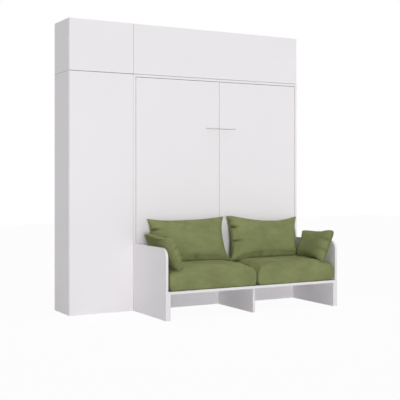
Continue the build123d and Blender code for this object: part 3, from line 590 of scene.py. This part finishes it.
def knife_panel(u, v, sizes, draws, dip, hollow):
    """Half of a knife-edged cushion, as across, up and out from its middle plane.

    The outline is a rectangle whose top sags by draws[0], its bottom by draws[1] and whose sides
    pull in by draws[2], each with a power of the distance along the edge, so that the corners
    stand out as ears. dip says how far along the top its lowest place is, and hollow is the power
    of its sag. A high power of u times v blunts the ears' tips, the upper ones more. The depth is
    the root of a product of two flat-topped profiles, fuller low down. sizes holds half width,
    half height and half depth.
    """
    half_width, half_height, half_depth = sizes
    tip = EAR_BLUNT * (np.abs(u) * np.abs(v)) ** 6 * (0.65 + 0.35 * v)
    along = (u - dip) / (1.0 - dip * u)
    sag = np.where(v > 0.0, draws[0] * (1.0 - np.abs(along) ** hollow), draws[1] * (1.0 - np.abs(u) ** 4))
    across = half_width * u - np.sign(u) * (draws[2] * np.abs(u) ** 3 * (1.0 - np.abs(v) ** 4.5) + tip)
    up = half_height * v - np.sign(v) * (sag * np.abs(v) ** 3 + tip)
    full = ((1.0 - np.abs(u) ** 6) * (1.0 - np.abs(v) ** 3.6)) ** 0.5
    out = half_depth * full * (1.0 - 0.12 * v)
    return across, up, out


def boxed_half(u, v, half, corner, rolls, height, bulge=0.0):
    """Half of a boxed cushion, as across, along and up from the plane where its halves meet.

    Square rings grow from the middle of the panel. A ring's outline is a rectangle with its
    corners rounded by corner. Rings past flat turn down over a quarter round, and rings past rim
    run down to the meeting plane. The round's radius is rolls[0] at the low end, rolls[1] at the
    high end and rolls[2] at front and back, blended with the square of the outline's normal, and
    bulge swells the walls by the root of 1 minus the square of their height.
    """
    ring = np.maximum(np.maximum(np.abs(u), np.abs(v)), 1e-9)
    edge = np.stack([u / ring * half[0], v / ring * half[1]])
    inner = np.array(half)[:, None, None] - corner
    core = np.clip(edge, -inner, inner)
    normal = edge - core
    normal /= np.maximum(np.linalg.norm(normal, axis=0), 1e-9)
    outline = core + normal * corner
    roll = rolls[2] + (np.where(normal[0] < 0.0, rolls[0], rolls[1]) - rolls[2]) * normal[0] ** 2
    flat, rim = 0.78, 0.93
    angle = np.clip((ring - flat) / (rim - flat), 0.0, 1.0) * math.pi / 2.0
    drop = np.clip((ring - rim) / (1.0 - rim), 0.0, 1.0)
    up = height - roll * (1.0 - np.cos(angle)) - (height - roll) * drop
    out = roll * (np.sin(angle) - 1.0) + bulge * np.sqrt(np.clip(1.0 - (up / height) ** 2, 0.0, 1.0))
    across, along = (outline + normal * out) * np.clip(ring / flat, 0.0, 1.0)
    return across, along, up


def fill_with_air(pieces, cushions, stiffness):
    """Blows up several skins of cloth at once, with no gravity, and returns where their points went."""
    settings = {**CLOTH, "bending_stiffness": stiffness, "uniform_pressure_force": cushions.air}
    for piece in pieces:
        cloth = piece.modifiers.new("air", "CLOTH")
        for key, value in settings.items():
            setattr(cloth.settings, key, value)
        cloth.settings.effector_weights.gravity = 0.0
        cloth.collision_settings.use_collision = False
        cloth.point_cache.frame_start = 1
        cloth.point_cache.frame_end = cushions.frames
    for step in range(1, cushions.frames + 1):
        bpy.context.scene.frame_set(step)
    depsgraph = bpy.context.evaluated_depsgraph_get()
    found = []
    for piece in pieces:
        flat = np.empty(len(piece.data.vertices) * 3, np.float32)
        piece.evaluated_get(depsgraph).data.vertices.foreach_get("co", flat)
        found.append(flat.reshape(-1, 3).astype(float))
        piece.modifiers.remove(piece.modifiers["air"])
    bpy.context.scene.frame_set(1)
    return found


def capped(start, moved, cap):
    """Points that moved further than about cap are brought back towards where they started."""
    shift = moved - start
    length = np.linalg.norm(shift, axis=1, keepdims=True)
    return start + shift * np.tanh(length / cap) * cap / np.maximum(length, 1e-9)


def stretched(points, low, high):
    """Points scaled along each axis so that they just reach both sides of a box."""
    least, most = points.min(axis=0), points.max(axis=0)
    return low + (points - least) / (most - least) * (high - low)


def within(points, low, high, ease=0.002):
    """Points brought inside a box by a soft minimum and maximum, so that no flat edge shows."""
    points = high - ease * np.logaddexp(0.0, (high - points) / ease)
    return low + ease * np.logaddexp(0.0, (points - low) / ease)


def settle(piece, points):
    """Moves a piece's points and subdivides it once, the same in the view and in the render."""
    piece.data.vertices.foreach_set("co", points.astype(np.float32).ravel())
    piece.data.update()
    finer = piece.modifiers.new("finer", "SUBSURF")
    finer.levels = finer.render_levels = 1


def crease_at(u, v, folds):
    """Sum of folds, each a ridge that falls off to both sides of its line and away from its seam."""
    total = np.zeros_like(u)
    for side, place, depth, width, length in folds:
        from_seam = (1.0 - u * side) if abs(side) == 1 else (1.0 - v * side / 2.0)
        along = v if abs(side) == 1 else u
        total += depth * np.exp(-((along - place) / width) ** 2) * np.exp(-(from_seam / length) ** 2)
    return total


def knife_cushion(centre, plan):
    """Points, faces, seam ids, creases and painted shade of a knife-edged skin.

    The seam's place forward of the middle plane runs evenly from foot to top, and each corner's
    shift has a weight that falls off along both sides. Painted shade is deeper near the seam and in
    folds. The plan's side shade is added on the front, and on the back it is a least painted shade
    that fades out towards the low end of the width.
    """
    width_axis, up_axis, out_axis = plan.axes
    u, v = unit_grid(*plan.counts)
    across, up, out = knife_panel(u, v, plan.sizes, plan.draws, plan.dip, plan.hollow)
    half_depth = plan.sizes[2]
    low_forward, high_forward = plan.forward
    forward = low_forward + (high_forward - low_forward) * (1.0 + v) / 2.0
    uneven = ripple(across, up, plan.seed, 0.22) * KNIFE_UNEVEN * out / half_depth
    spread = across[..., None] * width_axis + (up - plan.sink)[..., None] * up_axis + centre
    for (side_u, side_v), shift in plan.corners.items():
        weight = (((1.0 + side_u * u) * (1.0 + side_v * v)) / 4.0) ** CORNER_POWER
        spread = spread + weight[..., None] * (np.array(shift) @ np.stack([width_axis, up_axis, out_axis]))
    front = spread + (forward + out * (1.0 - forward / half_depth) + uneven)[..., None] * out_axis
    back = spread + (forward - out * (0.92 + forward / half_depth))[..., None] * out_axis
    points, faces, front_ids, back_ids = closed_pair(front, back)
    # Painted shade: darker near the seam and in creases. The plan's side shade is added on the front, and
    # on the back it is a least shade that fades out towards u = -1.
    near_seam = np.clip(1.0 - out / half_depth * 3.2, 0.0, 1.0) ** 2 * 0.5
    crease = crease_at(u, v, plan.folds) * (out > 1e-6)
    sunk = np.zeros(len(points))
    sunk[front_ids] = crease
    shade = np.zeros(len(points))
    shade[back_ids] = np.maximum(near_seam, plan.nap_and_shade[1] * np.clip((u + 1.0) / 0.9, 0.0, 1.0))
    shade[front_ids] = np.clip(near_seam + crease / FOLD_SHADE_DEPTH + plan.nap_and_shade[0], 0.0, 0.9)
    return points, faces, front_ids, sunk, shade


def cushion_cloth(context):
    """The velvet and its bound edge, made once."""
    tones = context.scene.wall_bed_colours
    velvet = bpy.data.materials.get("velvet") or velvet_finish("velvet", tones.cloth, tones.cloth_shade)
    welt = bpy.data.materials.get("velvet_welt") or welt_finish("velvet_welt", tones.cloth)
    return velvet, welt


def seat_skin(side, sign, cushions):
    """Points and faces of a boxed seat cushion, kept small enough for the air to fill its block.

    The crown falls with the square of the distance from the middle, across and a little along,
    and with its fourth power on the arm's half. A slow ripple makes it uneven.
    """
    low, high = block(f"seat_cushion_{side}")
    middle, half = (low + high) / 2.0, (high - low) / 2.0
    size, height = half[:2] - SEAT_SWELL, high[2] - low[2]
    meet = SEAT_MEET * height
    ends = (cushions.seat_arm_roll, cushions.seat_roll)[::-sign]
    u, v = unit_grid(*SEAT_GRID)
    top = boxed_half(u, v, size, SEAT_CORNER, (*ends, cushions.seat_front_roll),
                     height - meet - cushions.seat_crown, SEAT_BULGE)
    under = boxed_half(u, v, size, SEAT_CORNER, SEAT_UNDER_ROLLS, meet, SEAT_BULGE)
    crown = (1.0 - (top[0] / half[0]) ** 2) * (1.0 - 0.12 * (top[1] / half[1]) ** 2)
    crown -= SEAT_ARM_FALL * np.clip(sign * top[0] / half[0], 0.0, 1.0) ** 4
    uneven = ripple(top[0], top[1], 40 + sign, 0.34) * SEAT_UNEVEN
    lift = (cushions.seat_crown * crown - SEAT_SWELL + uneven) * top[2] / top[2].max()
    place = np.array([middle[0], middle[1], low[2] + meet])
    front = np.stack([top[0], top[1], top[2] + lift], axis=-1) + place
    back = np.stack([under[0], under[1], -under[2]], axis=-1) + place
    return closed_pair(front, back)[:2]


class WALLBED_OT_seat_cushions(bpy.types.Operator):
    """Boxed seat cushions with a crowned top and rolled ends, filled with air"""

    bl_idname = "wall_bed.seat_cushions"
    bl_label = "Seat cushions"

    def execute(self, context):
        cushions = context.scene.wall_bed_cushions
        velvet, _ = cushion_cloth(context)
        pieces, starts = [], []
        for side, sign in SIDES:
            node = f"seat_cushion_{side}"
            points, faces = seat_skin(side, sign, cushions)
            piece = make_piece(f"{node}_cover", points, faces, velvet, node, "green_fabric", node,
                               painted_shade=np.zeros(len(points)))
            pieces.append(piece)
            starts.append(points)
        found = fill_with_air(pieces, cushions, SEAT_STIFFNESS)
        for piece, start, moved, (side, _) in zip(pieces, starts, found, SIDES):
            low, high = block(f"seat_cushion_{side}")
            low, high = low + SEAT_FIT[side][0], high + SEAT_FIT[side][1]
            points = capped(start, moved, SEAT_CAP)
            points[:, :2] = stretched(points[:, :2], low[:2], high[:2])
            settle(piece, within(points, low - SEAT_EASE, high + SEAT_EASE))
        return {"FINISHED"}


# Back cushions: columns and rows of a panel, and the most that air moves a point.
BACK_GRID = (121, 73)
BACK_CAP = 0.014
# Folds that start at a seam: side (1 and -1 across, 2 and -2 up), place along it, depth, half width
# and length.
BACK_FOLDS = {
    "left": ((-1, 0.42, 0.026, 0.05, 0.2), (-1, 0.05, 0.018, 0.05, 0.15), (-1, -0.5, 0.008, 0.06, 0.14),
             (1, 0.35, 0.007, 0.06, 0.10), (1, -0.3, 0.008, 0.06, 0.12), (2, -0.55, 0.005, 0.05, 0.3),
             (2, 0.62, 0.007, 0.05, 0.3), (-2, 0.1, 0.006, 0.06, 0.3)),
    "right": ((-1, 0.40, 0.028, 0.05, 0.15), (-1, -0.18, 0.022, 0.045, 0.2), (-1, 0.7, 0.007, 0.05, 0.12),
              (1, 0.3, 0.006, 0.05, 0.12), (1, -0.15, 0.008, 0.05, 0.12), (2, -0.45, 0.005, 0.05, 0.3),
              (2, 0.5, 0.007, 0.05, 0.3), (-2, -0.2, 0.006, 0.06, 0.3)),
}
# Where the top of each back cushion sags most, its share of the sag, the sag's power, and how far
# it is turned in its own plane. Both sink into the seats a little and pull in along their foot.
BACK_DIP = {"left": 0.0, "right": 0.3}
BACK_SAG = {"left": 0.9, "right": 1.6}
BACK_HOLLOW = {"left": 5.0, "right": 2.2}
BACK_TURN = {"left": math.radians(0.4), "right": math.radians(-1.0)}
BACK_SINK = 0.012
BACK_FOOT_DRAW = 0.006
# Where the seam lies forward of the middle plane, at the foot and at the top, and how the corners
# are pushed out of place, as shifts along the width, up and out.
BACK_FORWARD = (0.045, 0.0)
BACK_CORNERS = {
    "left": {(1, -1): (0.032, -0.030, 0.02), (1, 1): (0.038, 0.016, 0.0), (-1, 1): (-0.014, 0.012, 0.0)},
    "right": {(-1, -1): (-0.026, -0.036, 0.02), (-1, 1): (-0.016, 0.008, 0.0), (1, 1): (0.036, 0.006, 0.0)},
}


def turned(axes, angle):
    """Width, up and out axes, with the first two turned about the third."""
    width_axis, up_axis, out_axis = axes
    return (math.cos(angle) * width_axis + math.sin(angle) * up_axis,
            math.cos(angle) * up_axis - math.sin(angle) * width_axis, out_axis)


def knife_set(plans, velvet, welt, cushions, cap, fill):
    """Makes knife-edged cushions together: skins, air, creases, then a bound edge on each seam.

    The air moves a point by at most about cap, and what it takes from the width and the height
    is given back.
    """
    pieces, starts, details = [], [], []
    for node, plan in plans.items():
        low, high = block(node)
        points, faces, ids, sunk, shade = knife_cushion((low + high) / 2.0, plan)
        pieces.append(make_piece(f"{node}_cover", points, faces, velvet, node, "green_fabric", node, shade))
        starts.append(points)
        details.append((node, plan, ring_of(ids), sunk))
    found = fill_with_air(pieces, cushions, KNIFE_STIFFNESS)
    for piece, start, moved, (node, plan, ring, sunk) in zip(pieces, starts, found, details):
        low, high = block(node)
        out_axis = plan.axes[2]
        points = capped(start, moved, cap)
        for axis in plan.axes[:2]:
            reach, whole = points @ axis, start @ axis
            points += (stretched(reach, whole.min(), whole.max()) - reach)[:, None] * axis
        points -= sunk[:, None] * out_axis
        rise = np.clip((points[:, 2] - low[2]) / (high[2] - low[2]), 0.0, 1.0)
        points[:, 1] = np.minimum(points[:, 1], high[1] - SEAM_CLEAR + plan.room * rise)
        points[:, 2] = np.maximum(points[:, 2], plan.floor(points))
        settle(piece, points)
        edge, faces = tube_round(points[ring], out_axis, WELT_RADIUS)
        make_piece(f"{node}_welt", edge, faces, welt, node, "green_fabric")


def seat_top(side, sign, cushions):
    """Height of a seat cushion's crowned top as a function of the points above it."""
    low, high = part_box(f"seat_cushion_{side}")
    middle, half = (low[0] + high[0]) / 2.0, (high[0] - low[0]) / 2.0

    def height(points):
        reach = (points[:, 0] - middle) / half
        fall = reach ** 2 + SEAT_ARM_FALL * np.clip(sign * reach, 0.0, 1.0) ** 4
        return high[2] + SEAM_CLEAR - cushions.seat_crown * fall

    return height


class WALLBED_OT_back_cushions(bpy.types.Operator):
    """Knife-edged back cushions that lean on the bed's fronts, with folds at their side seams"""

    bl_idname = "wall_bed.back_cushions"
    bl_label = "Back cushions"

    def execute(self, context):
        cushions = context.scene.wall_bed_cushions
        lean = cushions.back_lean
        axes = (np.array([1.0, 0.0, 0.0]), np.array([0.0, math.sin(lean), math.cos(lean)]),
                np.array([0.0, -math.cos(lean), math.sin(lean)]))
        plans = {}
        for side, sign in SIDES:
            low, high = block(f"back_cushion_{side}")
            plans[f"back_cushion_{side}"] = KnifePlan(
                axes=turned(axes, BACK_TURN[side]),
                counts=BACK_GRID,
                seed=11 + sign,
                sizes=((high[0] - low[0]) / 2.0, (cushions.back_height + BACK_SINK) / 2.0,
                       cushions.back_depth / 2.0),
                sink=BACK_SINK / 2.0,
                draws=(cushions.back_sag * BACK_SAG[side], BACK_FOOT_DRAW, cushions.back_draw),
                dip=BACK_DIP[side],
                hollow=BACK_HOLLOW[side],
                forward=BACK_FORWARD,
                folds=BACK_FOLDS[side],
                corners=BACK_CORNERS[side],
                floor=seat_top(side, sign, cushions),
            )
        knife_set(plans, *cushion_cloth(context), cushions, BACK_CAP, fill=0.6)
        return {"FINISHED"}


# Throw pillows: columns and rows of a panel, the most that air moves a point, and the power of the
# top's sag.
PILLOW_GRID = (69, 53)
PILLOW_CAP = 0.010
PILLOW_HOLLOW = 3.2
PILLOW_FOLDS = {
    "left": ((1, 0.35, 0.007, 0.1, 0.3), (1, -0.4, 0.006, 0.1, 0.3), (-1, 0.55, 0.007, 0.06, 0.2),
             (-1, 0.2, 0.009, 0.06, 0.24), (-1, -0.2, 0.008, 0.06, 0.2), (-1, -0.6, 0.007, 0.06, 0.22),
             (2, 0.3, 0.006, 0.1, 0.35), (-2, -0.3, 0.005, 0.1, 0.35)),
    "right": ((-1, 0.3, 0.008, 0.1, 0.3), (-1, -0.3, 0.006, 0.08, 0.3), (1, 0.1, 0.007, 0.1, 0.3),
              (2, -0.3, 0.006, 0.1, 0.35), (-2, 0.35, 0.006, 0.1, 0.35)),
}
# Where each pillow's seam lies from its middle plane, at its foot and at its top, and the painted
# shade added on its seat side (below 0 it lightens) and the least painted shade on its arm side.
PILLOW_FORWARD = {"left": (-0.043, -0.036), "right": (-0.020, -0.026)}
PILLOW_SIDE_SHADE = {"left": (-0.08, 0.8), "right": (0.14, 0.0)}
# How much a pillow's sides swell out, and how far its top leans back past the back cushion's foot.
PILLOW_FULL = 0.008
PILLOW_ROOM = 0.020
PILLOW_CORNERS = {
    "left": {(1, 1): (-0.015, 0.042, -0.034), (-1, -1): (-0.016, -0.02, 0.01), (-1, 1): (0.004, 0.0, 0.0)},
    "right": {(1, 1): (0.03, -0.022, 0.054), (1, -1): (0.02, 0.0, 0.025), (-1, -1): (0.0, -0.036, 0.0),
              (-1, 1): (0.0, 0.024, -0.010)},
}


class WALLBED_OT_pillows(bpy.types.Operator):
    """Throw pillows that stand on the seat and lean on the arms"""

    bl_idname = "wall_bed.pillows"
    bl_label = "Throw pillows"

    def execute(self, context):
        cushions = context.scene.wall_bed_cushions
        lean = cushions.pillow_lean
        plans = {}
        for side, sign in SIDES:
            low, high = block(f"throw_pillow_{side}")
            axes = (np.array([0.0, 1.0, 0.0]), np.array([sign * math.sin(lean), 0.0, math.cos(lean)]),
                    np.array([-sign * math.cos(lean), 0.0, math.sin(lean)]))
            plans[f"throw_pillow_{side}"] = KnifePlan(
                axes=axes,
                counts=PILLOW_GRID,
                seed=21 + sign,
                sizes=((high[1] - low[1]) / 2.0, cushions.pillow_height / 2.0,
                       cushions.pillow_depth / 2.0),
                draws=(cushions.pillow_draw, cushions.pillow_draw, -PILLOW_FULL),
                hollow=PILLOW_HOLLOW,
                forward=PILLOW_FORWARD[side],
                nap_and_shade=PILLOW_SIDE_SHADE[side],
                room=PILLOW_ROOM,
                folds=PILLOW_FOLDS[side],
                corners=PILLOW_CORNERS[side],
                floor=seat_top(side, sign, cushions),
            )
        knife_set(plans, *cushion_cloth(context), cushions, PILLOW_CAP, fill=0.65)
        return {"FINISHED"}


# ---- mattress -------------------------------------------------------------------------------
# It stands on its end in the closed bed, so its length runs upward. Columns and rows of a panel,
# width of the quilted groove and of the dish round it, and radius of the piping.
UPWARD = np.array([0.0, 0.0, 1.0])
MATTRESS_GRID = (181, 211)
GROOVE_WIDTH = 0.012
GROOVE_REACH = 0.030
PIPING_RADIUS = 0.004
# Places of the air vents and carrying handles, as shares of the mattress's half length.
VENT_LEVELS = (-0.78, -0.62, 0.62, 0.78)
HANDLE_LEVELS = (-0.25, 0.25)
# Width of the elastic bands, and radius of their bends over the mattress's edges.
BAND_WIDTH = 0.040
BAND_BEND = 0.026


class WALLBED_OT_mattress(bpy.types.Operator):
    """Quilted mattress with piped edges, and the two bands that hold it on the slats"""

    bl_idname = "wall_bed.mattress"
    bl_label = "Mattress and straps"

    def execute(self, context):
        settings = context.scene.wall_bed_mattress
        tones = context.scene.wall_bed_colours
        low, high = block("mattress")
        middle, half = (low + high) / 2.0, (high - low) / 2.0
        rim = mattress_cover(middle, half, settings, tones.mattress)
        piping = welt_finish("mattress_piping", tones.mattress)
        for name, height in (("upper", half[1] - settings.edge), ("lower", settings.edge - half[1])):
            path = rim.copy()
            path[:, 1] = middle[1] + height
            edge, faces = tube_round(path, np.array([0.0, 1.0, 0.0]), PIPING_RADIUS)
            make_piece(f"mattress_piping_{name}", edge, faces, piping, "bed", "mattress_fabric")
        webbing = webbing_finish("strap_webbing", tones.webbing)
        straps(webbing)
        vents, handles = [], []
        for sign in (-1, 1):
            side = middle + np.array([sign * half[0], 0.0, 0.0])
            vents += [vent(side + UPWARD * half[2] * level, sign) for level in VENT_LEVELS]
            handles += [side_handle(side + UPWARD * half[2] * level, sign) for level in HANDLE_LEVELS]
        eyelet = moulded_finish("vent_plastic", (0.42, 0.43, 0.43), 0.4)
        make_piece("mattress_vents", *joined(vents), eyelet, "bed", "mattress_fabric")
        make_piece("mattress_handles", *joined(handles), webbing, "bed", "strap_fabric")
        return {"FINISHED"}


def mattress_cover(middle, half, settings, tone):
    """Makes the quilted cover and returns the points of its rim, in order.

    Two sets of parallel lines cross at 45 degrees. At a distance d from the nearest line the
    cover is drawn in by a groove, exp(-(d / width)^2), and a dish, exp(-d / reach), on the flat.
    """
    pitch = settings.quilt_pitch
    u, v = unit_grid(*MATTRESS_GRID)
    across, along, up = boxed_half(u, v, half[[0, 2]], settings.corner, (settings.edge,) * 3, half[1])
    line = np.minimum(lattice(across + along, pitch), lattice(across - along, pitch))
    flat = np.clip((up / half[1] - 0.97) / 0.03, 0.0, 1.0)
    groove = np.exp(-(line / GROOVE_WIDTH) ** 2) * flat
    depth = (0.55 * groove + 0.45 * np.exp(-line / GROOVE_REACH) * flat) * settings.quilt_depth
    top = np.stack([across, up - depth, along], axis=-1) + middle
    under = np.stack([across, -up + depth * 0.4, along], axis=-1) + middle
    points, faces, front_ids, back_ids = closed_pair(top, under)
    # Painted shade in the quilted grooves, fainter on the underside.
    shade = np.zeros(len(points))
    shade[back_ids] = groove * 0.4
    shade[front_ids] = groove
    knit = knit_finish("mattress_knit", tone, middle, pitch)
    piece = make_piece("mattress_cover", points, faces, knit, "bed", "mattress_fabric", "mattress", shade)
    return points[ring_of(front_ids)]


def vent(centre, sign, radius=0.011):
    """Air vent in the mattress's side, with a rounded lip round a sunk middle.

    A square grid is drawn to a disc: across = u sqrt(1 - v^2 / 2), up = v sqrt(1 - u^2 / 2).
    """
    u, v = unit_grid(17, 17)
    across, up = u * np.sqrt(1.0 - v ** 2 / 2.0), v * np.sqrt(1.0 - u ** 2 / 2.0)
    lip = 0.4 * MM + 1.6 * MM * np.exp(-((np.hypot(across, up) - 0.72) / 0.16) ** 2)
    return patch(centre, sign, radius * across, radius * up, lip, np.full_like(u, -2.0 * MM))


def side_handle(centre, sign, half_length=0.085, half_width=0.014):
    """Carrying handle: a flat band sewn down at its ends, bowed out by (1 - u^4)^2 between them."""
    u, v = unit_grid(33, 9)
    bow = 7.0 * MM * (1.0 - u ** 4) ** 2
    return patch(centre, sign, half_width * v, half_length * u, bow + 2.2 * MM, bow + 0.4 * MM)


def patch(centre, sign, across, up, outer, inner):
    """Closed skin on a side of the mattress, between two heights over that side."""
    front = centre + np.stack([sign * outer, across, up], axis=-1)
    back = centre + np.stack([sign * inner, across, up], axis=-1)
    points, faces, _, _ = closed_pair(front, back)
    return points, outward(points - centre, faces)


def joined(parts):
    """Points and faces of several skins as one."""
    starts = np.cumsum([0] + [len(points) for points, _ in parts[:-1]])
    points = np.concatenate([points for points, _ in parts])
    return points, np.concatenate([faces + start for start, (_, faces) in zip(starts, parts)])


def lattice(distance, pitch):
    """Distance to the nearest of parallel lines a pitch apart."""
    return np.abs((distance / pitch + 0.5) % 1.0 - 0.5) * pitch


def straps(material):
    """Two flat bands, each a six-sided section carried up one side, over the top and down the other.

    The path is two vertical runs and a level one, joined by quarter rounds. The section lies
    between a slight gap over the mattress and the band's outer face, and its edges bulge.
    """
    low, high = block("mattress_straps")
    inner_low, inner_high = block("mattress")
    steps = np.linspace(0.0, math.pi / 2.0, 9)
    top, foot = inner_high[1], low[1] + 1.0 * MM
    thick = high[1] - top
    right = np.stack([inner_high[0] - BAND_BEND + BAND_BEND * np.cos(steps),
                      top - BAND_BEND + BAND_BEND * np.sin(steps)], axis=-1)
    left = np.stack([inner_low[0] + BAND_BEND - BAND_BEND * np.sin(steps),
                     top - BAND_BEND + BAND_BEND * np.cos(steps)], axis=-1)
    path = np.concatenate([[[inner_high[0], foot]], right, left, [[inner_low[0], foot]]])
    tangent = np.gradient(path, axis=0)
    tangent /= np.linalg.norm(tangent, axis=1, keepdims=True)
    normal = np.stack([tangent[:, 1], -tangent[:, 0]], axis=-1)
    under, face, bulge = 0.4 * MM, thick - 0.2 * MM, 1.03
    section = np.array([(under, -1.0), (under, 1.0), (thick / 2.0, bulge), (face, 1.0), (face, -1.0),
                        (thick / 2.0, -bulge)])
    ids = np.arange(len(path) * len(section)).reshape(len(path), -1)
    fan = np.array([(0, 1, 2, 3), (0, 3, 4, 5)])
    around = np.concatenate([ids, ids[:, :1]], axis=1)
    faces = np.concatenate([quads_of(around), ids[0][fan], ids[-1][fan[:, ::-1]]])
    bands = []
    for level in (low[2] + BAND_WIDTH / 2.0, high[2] - BAND_WIDTH / 2.0):
        over = path[:, None] + normal[:, None] * section[None, :, :1]
        along = np.broadcast_to(level + section[None, :, 1:] * BAND_WIDTH / (2.0 * bulge), (*ids.shape, 1))
        bands.append((np.concatenate([over, along], axis=-1).reshape(-1, 3), faces))
    make_piece("mattress_bands", *joined(bands), material, "bed", "strap_fabric", "mattress_straps")


# ---- studio ---------------------------------------------------------------------------------
# The camera's place, its turn from facing the wall, its lens on a 36 mm sensor, and the upward
# shift of its view as a share of the picture's width.
CAMERA_PLACE = (-3.7525, -6.8241, 1.1920)
CAMERA_TURN = math.radians(-28.928)
CAMERA_LENS = 77.46
CAMERA_SHIFT = -0.0587
# Strength of the even light that the surroundings throw on the object, half width of the floor,
# and the share of plain white in what the camera sees of it.
AMBIENT = 0.289
FLOOR_REACH = 14.0
FLOOR_WHITE = 0.95


class WALLBED_OT_studio(bpy.types.Operator):
    """Camera, soft lamps, pale floor and white surroundings"""

    bl_idname = "wall_bed.studio"
    bl_label = "Studio"

    def execute(self, context):
        scene = context.scene
        scene.view_settings.view_transform = "Standard"
        camera = bpy.data.objects.new("camera", bpy.data.cameras.new("camera"))
        scene.collection.objects.link(camera)
        camera.data.sensor_width = 36.0
        camera.data.lens = CAMERA_LENS
        camera.data.shift_y = CAMERA_SHIFT
        camera.location = CAMERA_PLACE
        camera.rotation_euler = (math.radians(90.0), 0.0, CAMERA_TURN)
        scene.camera = camera
        add_sun(scene, "front_light", (-0.415, -1.0, 0.045), 0.54 * math.pi, 14.0)
        add_sun(scene, "top_light", (0.1, -0.38, 1.0), 0.3 * math.pi, 60.0)
        make_floor(scene)
        make_surroundings(scene)
        return {"FINISHED"}


def facing(towards):
    """Rotation that points a lamp along a direction."""
    across = math.hypot(towards[0], towards[1])
    return (math.atan2(across, -towards[2]), 0.0, math.atan2(-towards[0], towards[1]))


def add_sun(scene, name, source, strength, spread):
    """Even light from the direction of source, spread over an angle in degrees."""
    lamp = bpy.data.lights.new(name, "SUN")
    lamp.energy = strength
    lamp.angle = math.radians(spread)
    holder = bpy.data.objects.new(name, lamp)
    scene.collection.objects.link(holder)
    holder.rotation_euler = facing([-part for part in source])


def make_floor(scene):
    """Pale floor: seen by the camera it is nearly white and keeps a faint shadow."""
    u, v = unit_grid(3, 3)
    points = np.stack([u * FLOOR_REACH, v * FLOOR_REACH, u * 0.0], axis=-1).reshape(-1, 3)
    mesh = bpy.data.meshes.new("floor")
    mesh.from_pydata(points.tolist(), [], quads_of(np.arange(9).reshape(3, 3)).tolist())
    floor = bpy.data.objects.new("floor", mesh)
    scene.collection.objects.link(floor)
    made = Finish("floor", colour=(0.94, 0.94, 0.94, 1.0), roughness=0.9, specular=0.0)
    sight = seen_directly(made)
    glow = made.node("Emission", {}, {"Color": (1.0, 1.0, 1.0, 1.0), "Strength": 1.0})
    plain = Wire(made, made.shader.outputs[0])
    mixed = made.node("MixShader", {}, {0: sight * FLOOR_WHITE, 1: plain, 2: glow})
    output = made.tree.nodes["Material Output"]
    made.tree.links.new(mixed.socket, output.inputs["Surface"])
    floor.data.materials.append(made.material)


def seen_directly(made):
    """1 for what the camera, a mirror or glass sees, 0 for light on the object."""
    camera = made.node("LightPath", output="Is Camera Ray")
    glossy = made.node("LightPath", output="Is Glossy Ray")
    through = made.node("LightPath", output="Is Transmission Ray")
    return (camera + glossy + through).clip()


class Surroundings(Finish):
    """The world's node tree, with the same way of making nodes."""

    def __init__(self, world):
        self.tree = world.node_tree


def make_surroundings(scene):
    """White to the camera and in reflections, a softer even light on the object."""
    world = bpy.data.worlds.new("surroundings")
    world.use_nodes = True
    scene.world = world
    holder = Surroundings(world)
    sight = seen_directly(holder)
    light = world.node_tree.nodes["Background"]
    light.inputs["Color"].default_value = (1.0, 1.0, 1.0, 1.0)
    strength = sight * (1.0 - AMBIENT) + AMBIENT
    world.node_tree.links.new(strength.socket, light.inputs["Strength"])


# ---- panel and registration -----------------------------------------------------------------
class WALLBED_PT_panel(bpy.types.Panel):
    """Lists the parts of the wall bed in the sidebar"""

    bl_idname = "WALLBED_PT_panel"
    bl_label = "Wall bed"
    bl_space_type = "VIEW_3D"
    bl_region_type = "UI"
    bl_category = "Wall bed"

    def draw(self, context):
        layout = self.layout
        for operator in OPERATORS:
            layout.operator(operator.bl_idname)
        for group in GROUPS:
            box = layout.box()
            settings = getattr(context.scene, group)
            for key in settings.__annotations__:
                box.prop(settings, key)


OPERATORS = (
    WALLBED_OT_studio,
    WALLBED_OT_boards,
    WALLBED_OT_hardware,
    WALLBED_OT_seat_cushions,
    WALLBED_OT_back_cushions,
    WALLBED_OT_pillows,
    WALLBED_OT_mattress,
)
GROUPS = {
    "wall_bed_colours": WallBedColours,
    "wall_bed_cushions": WallBedCushions,
    "wall_bed_mattress": WallBedMattress,
}


CLASSES = (*GROUPS.values(), *OPERATORS, WALLBED_PT_panel)


def register():
    for kind in CLASSES:
        bpy.utils.register_class(kind)
    for name, group in GROUPS.items():
        setattr(bpy.types.Scene, name, PointerProperty(type=group))


def unregister():
    for name in GROUPS:
        delattr(bpy.types.Scene, name)
    for kind in reversed(CLASSES):
        bpy.utils.unregister_class(kind)


def main():
    """Runs every operator in order."""
    register()
    for operator in OPERATORS:
        getattr(bpy.ops.wall_bed, operator.bl_idname.split(".")[1])()


if __name__ == "__main__":
    main()
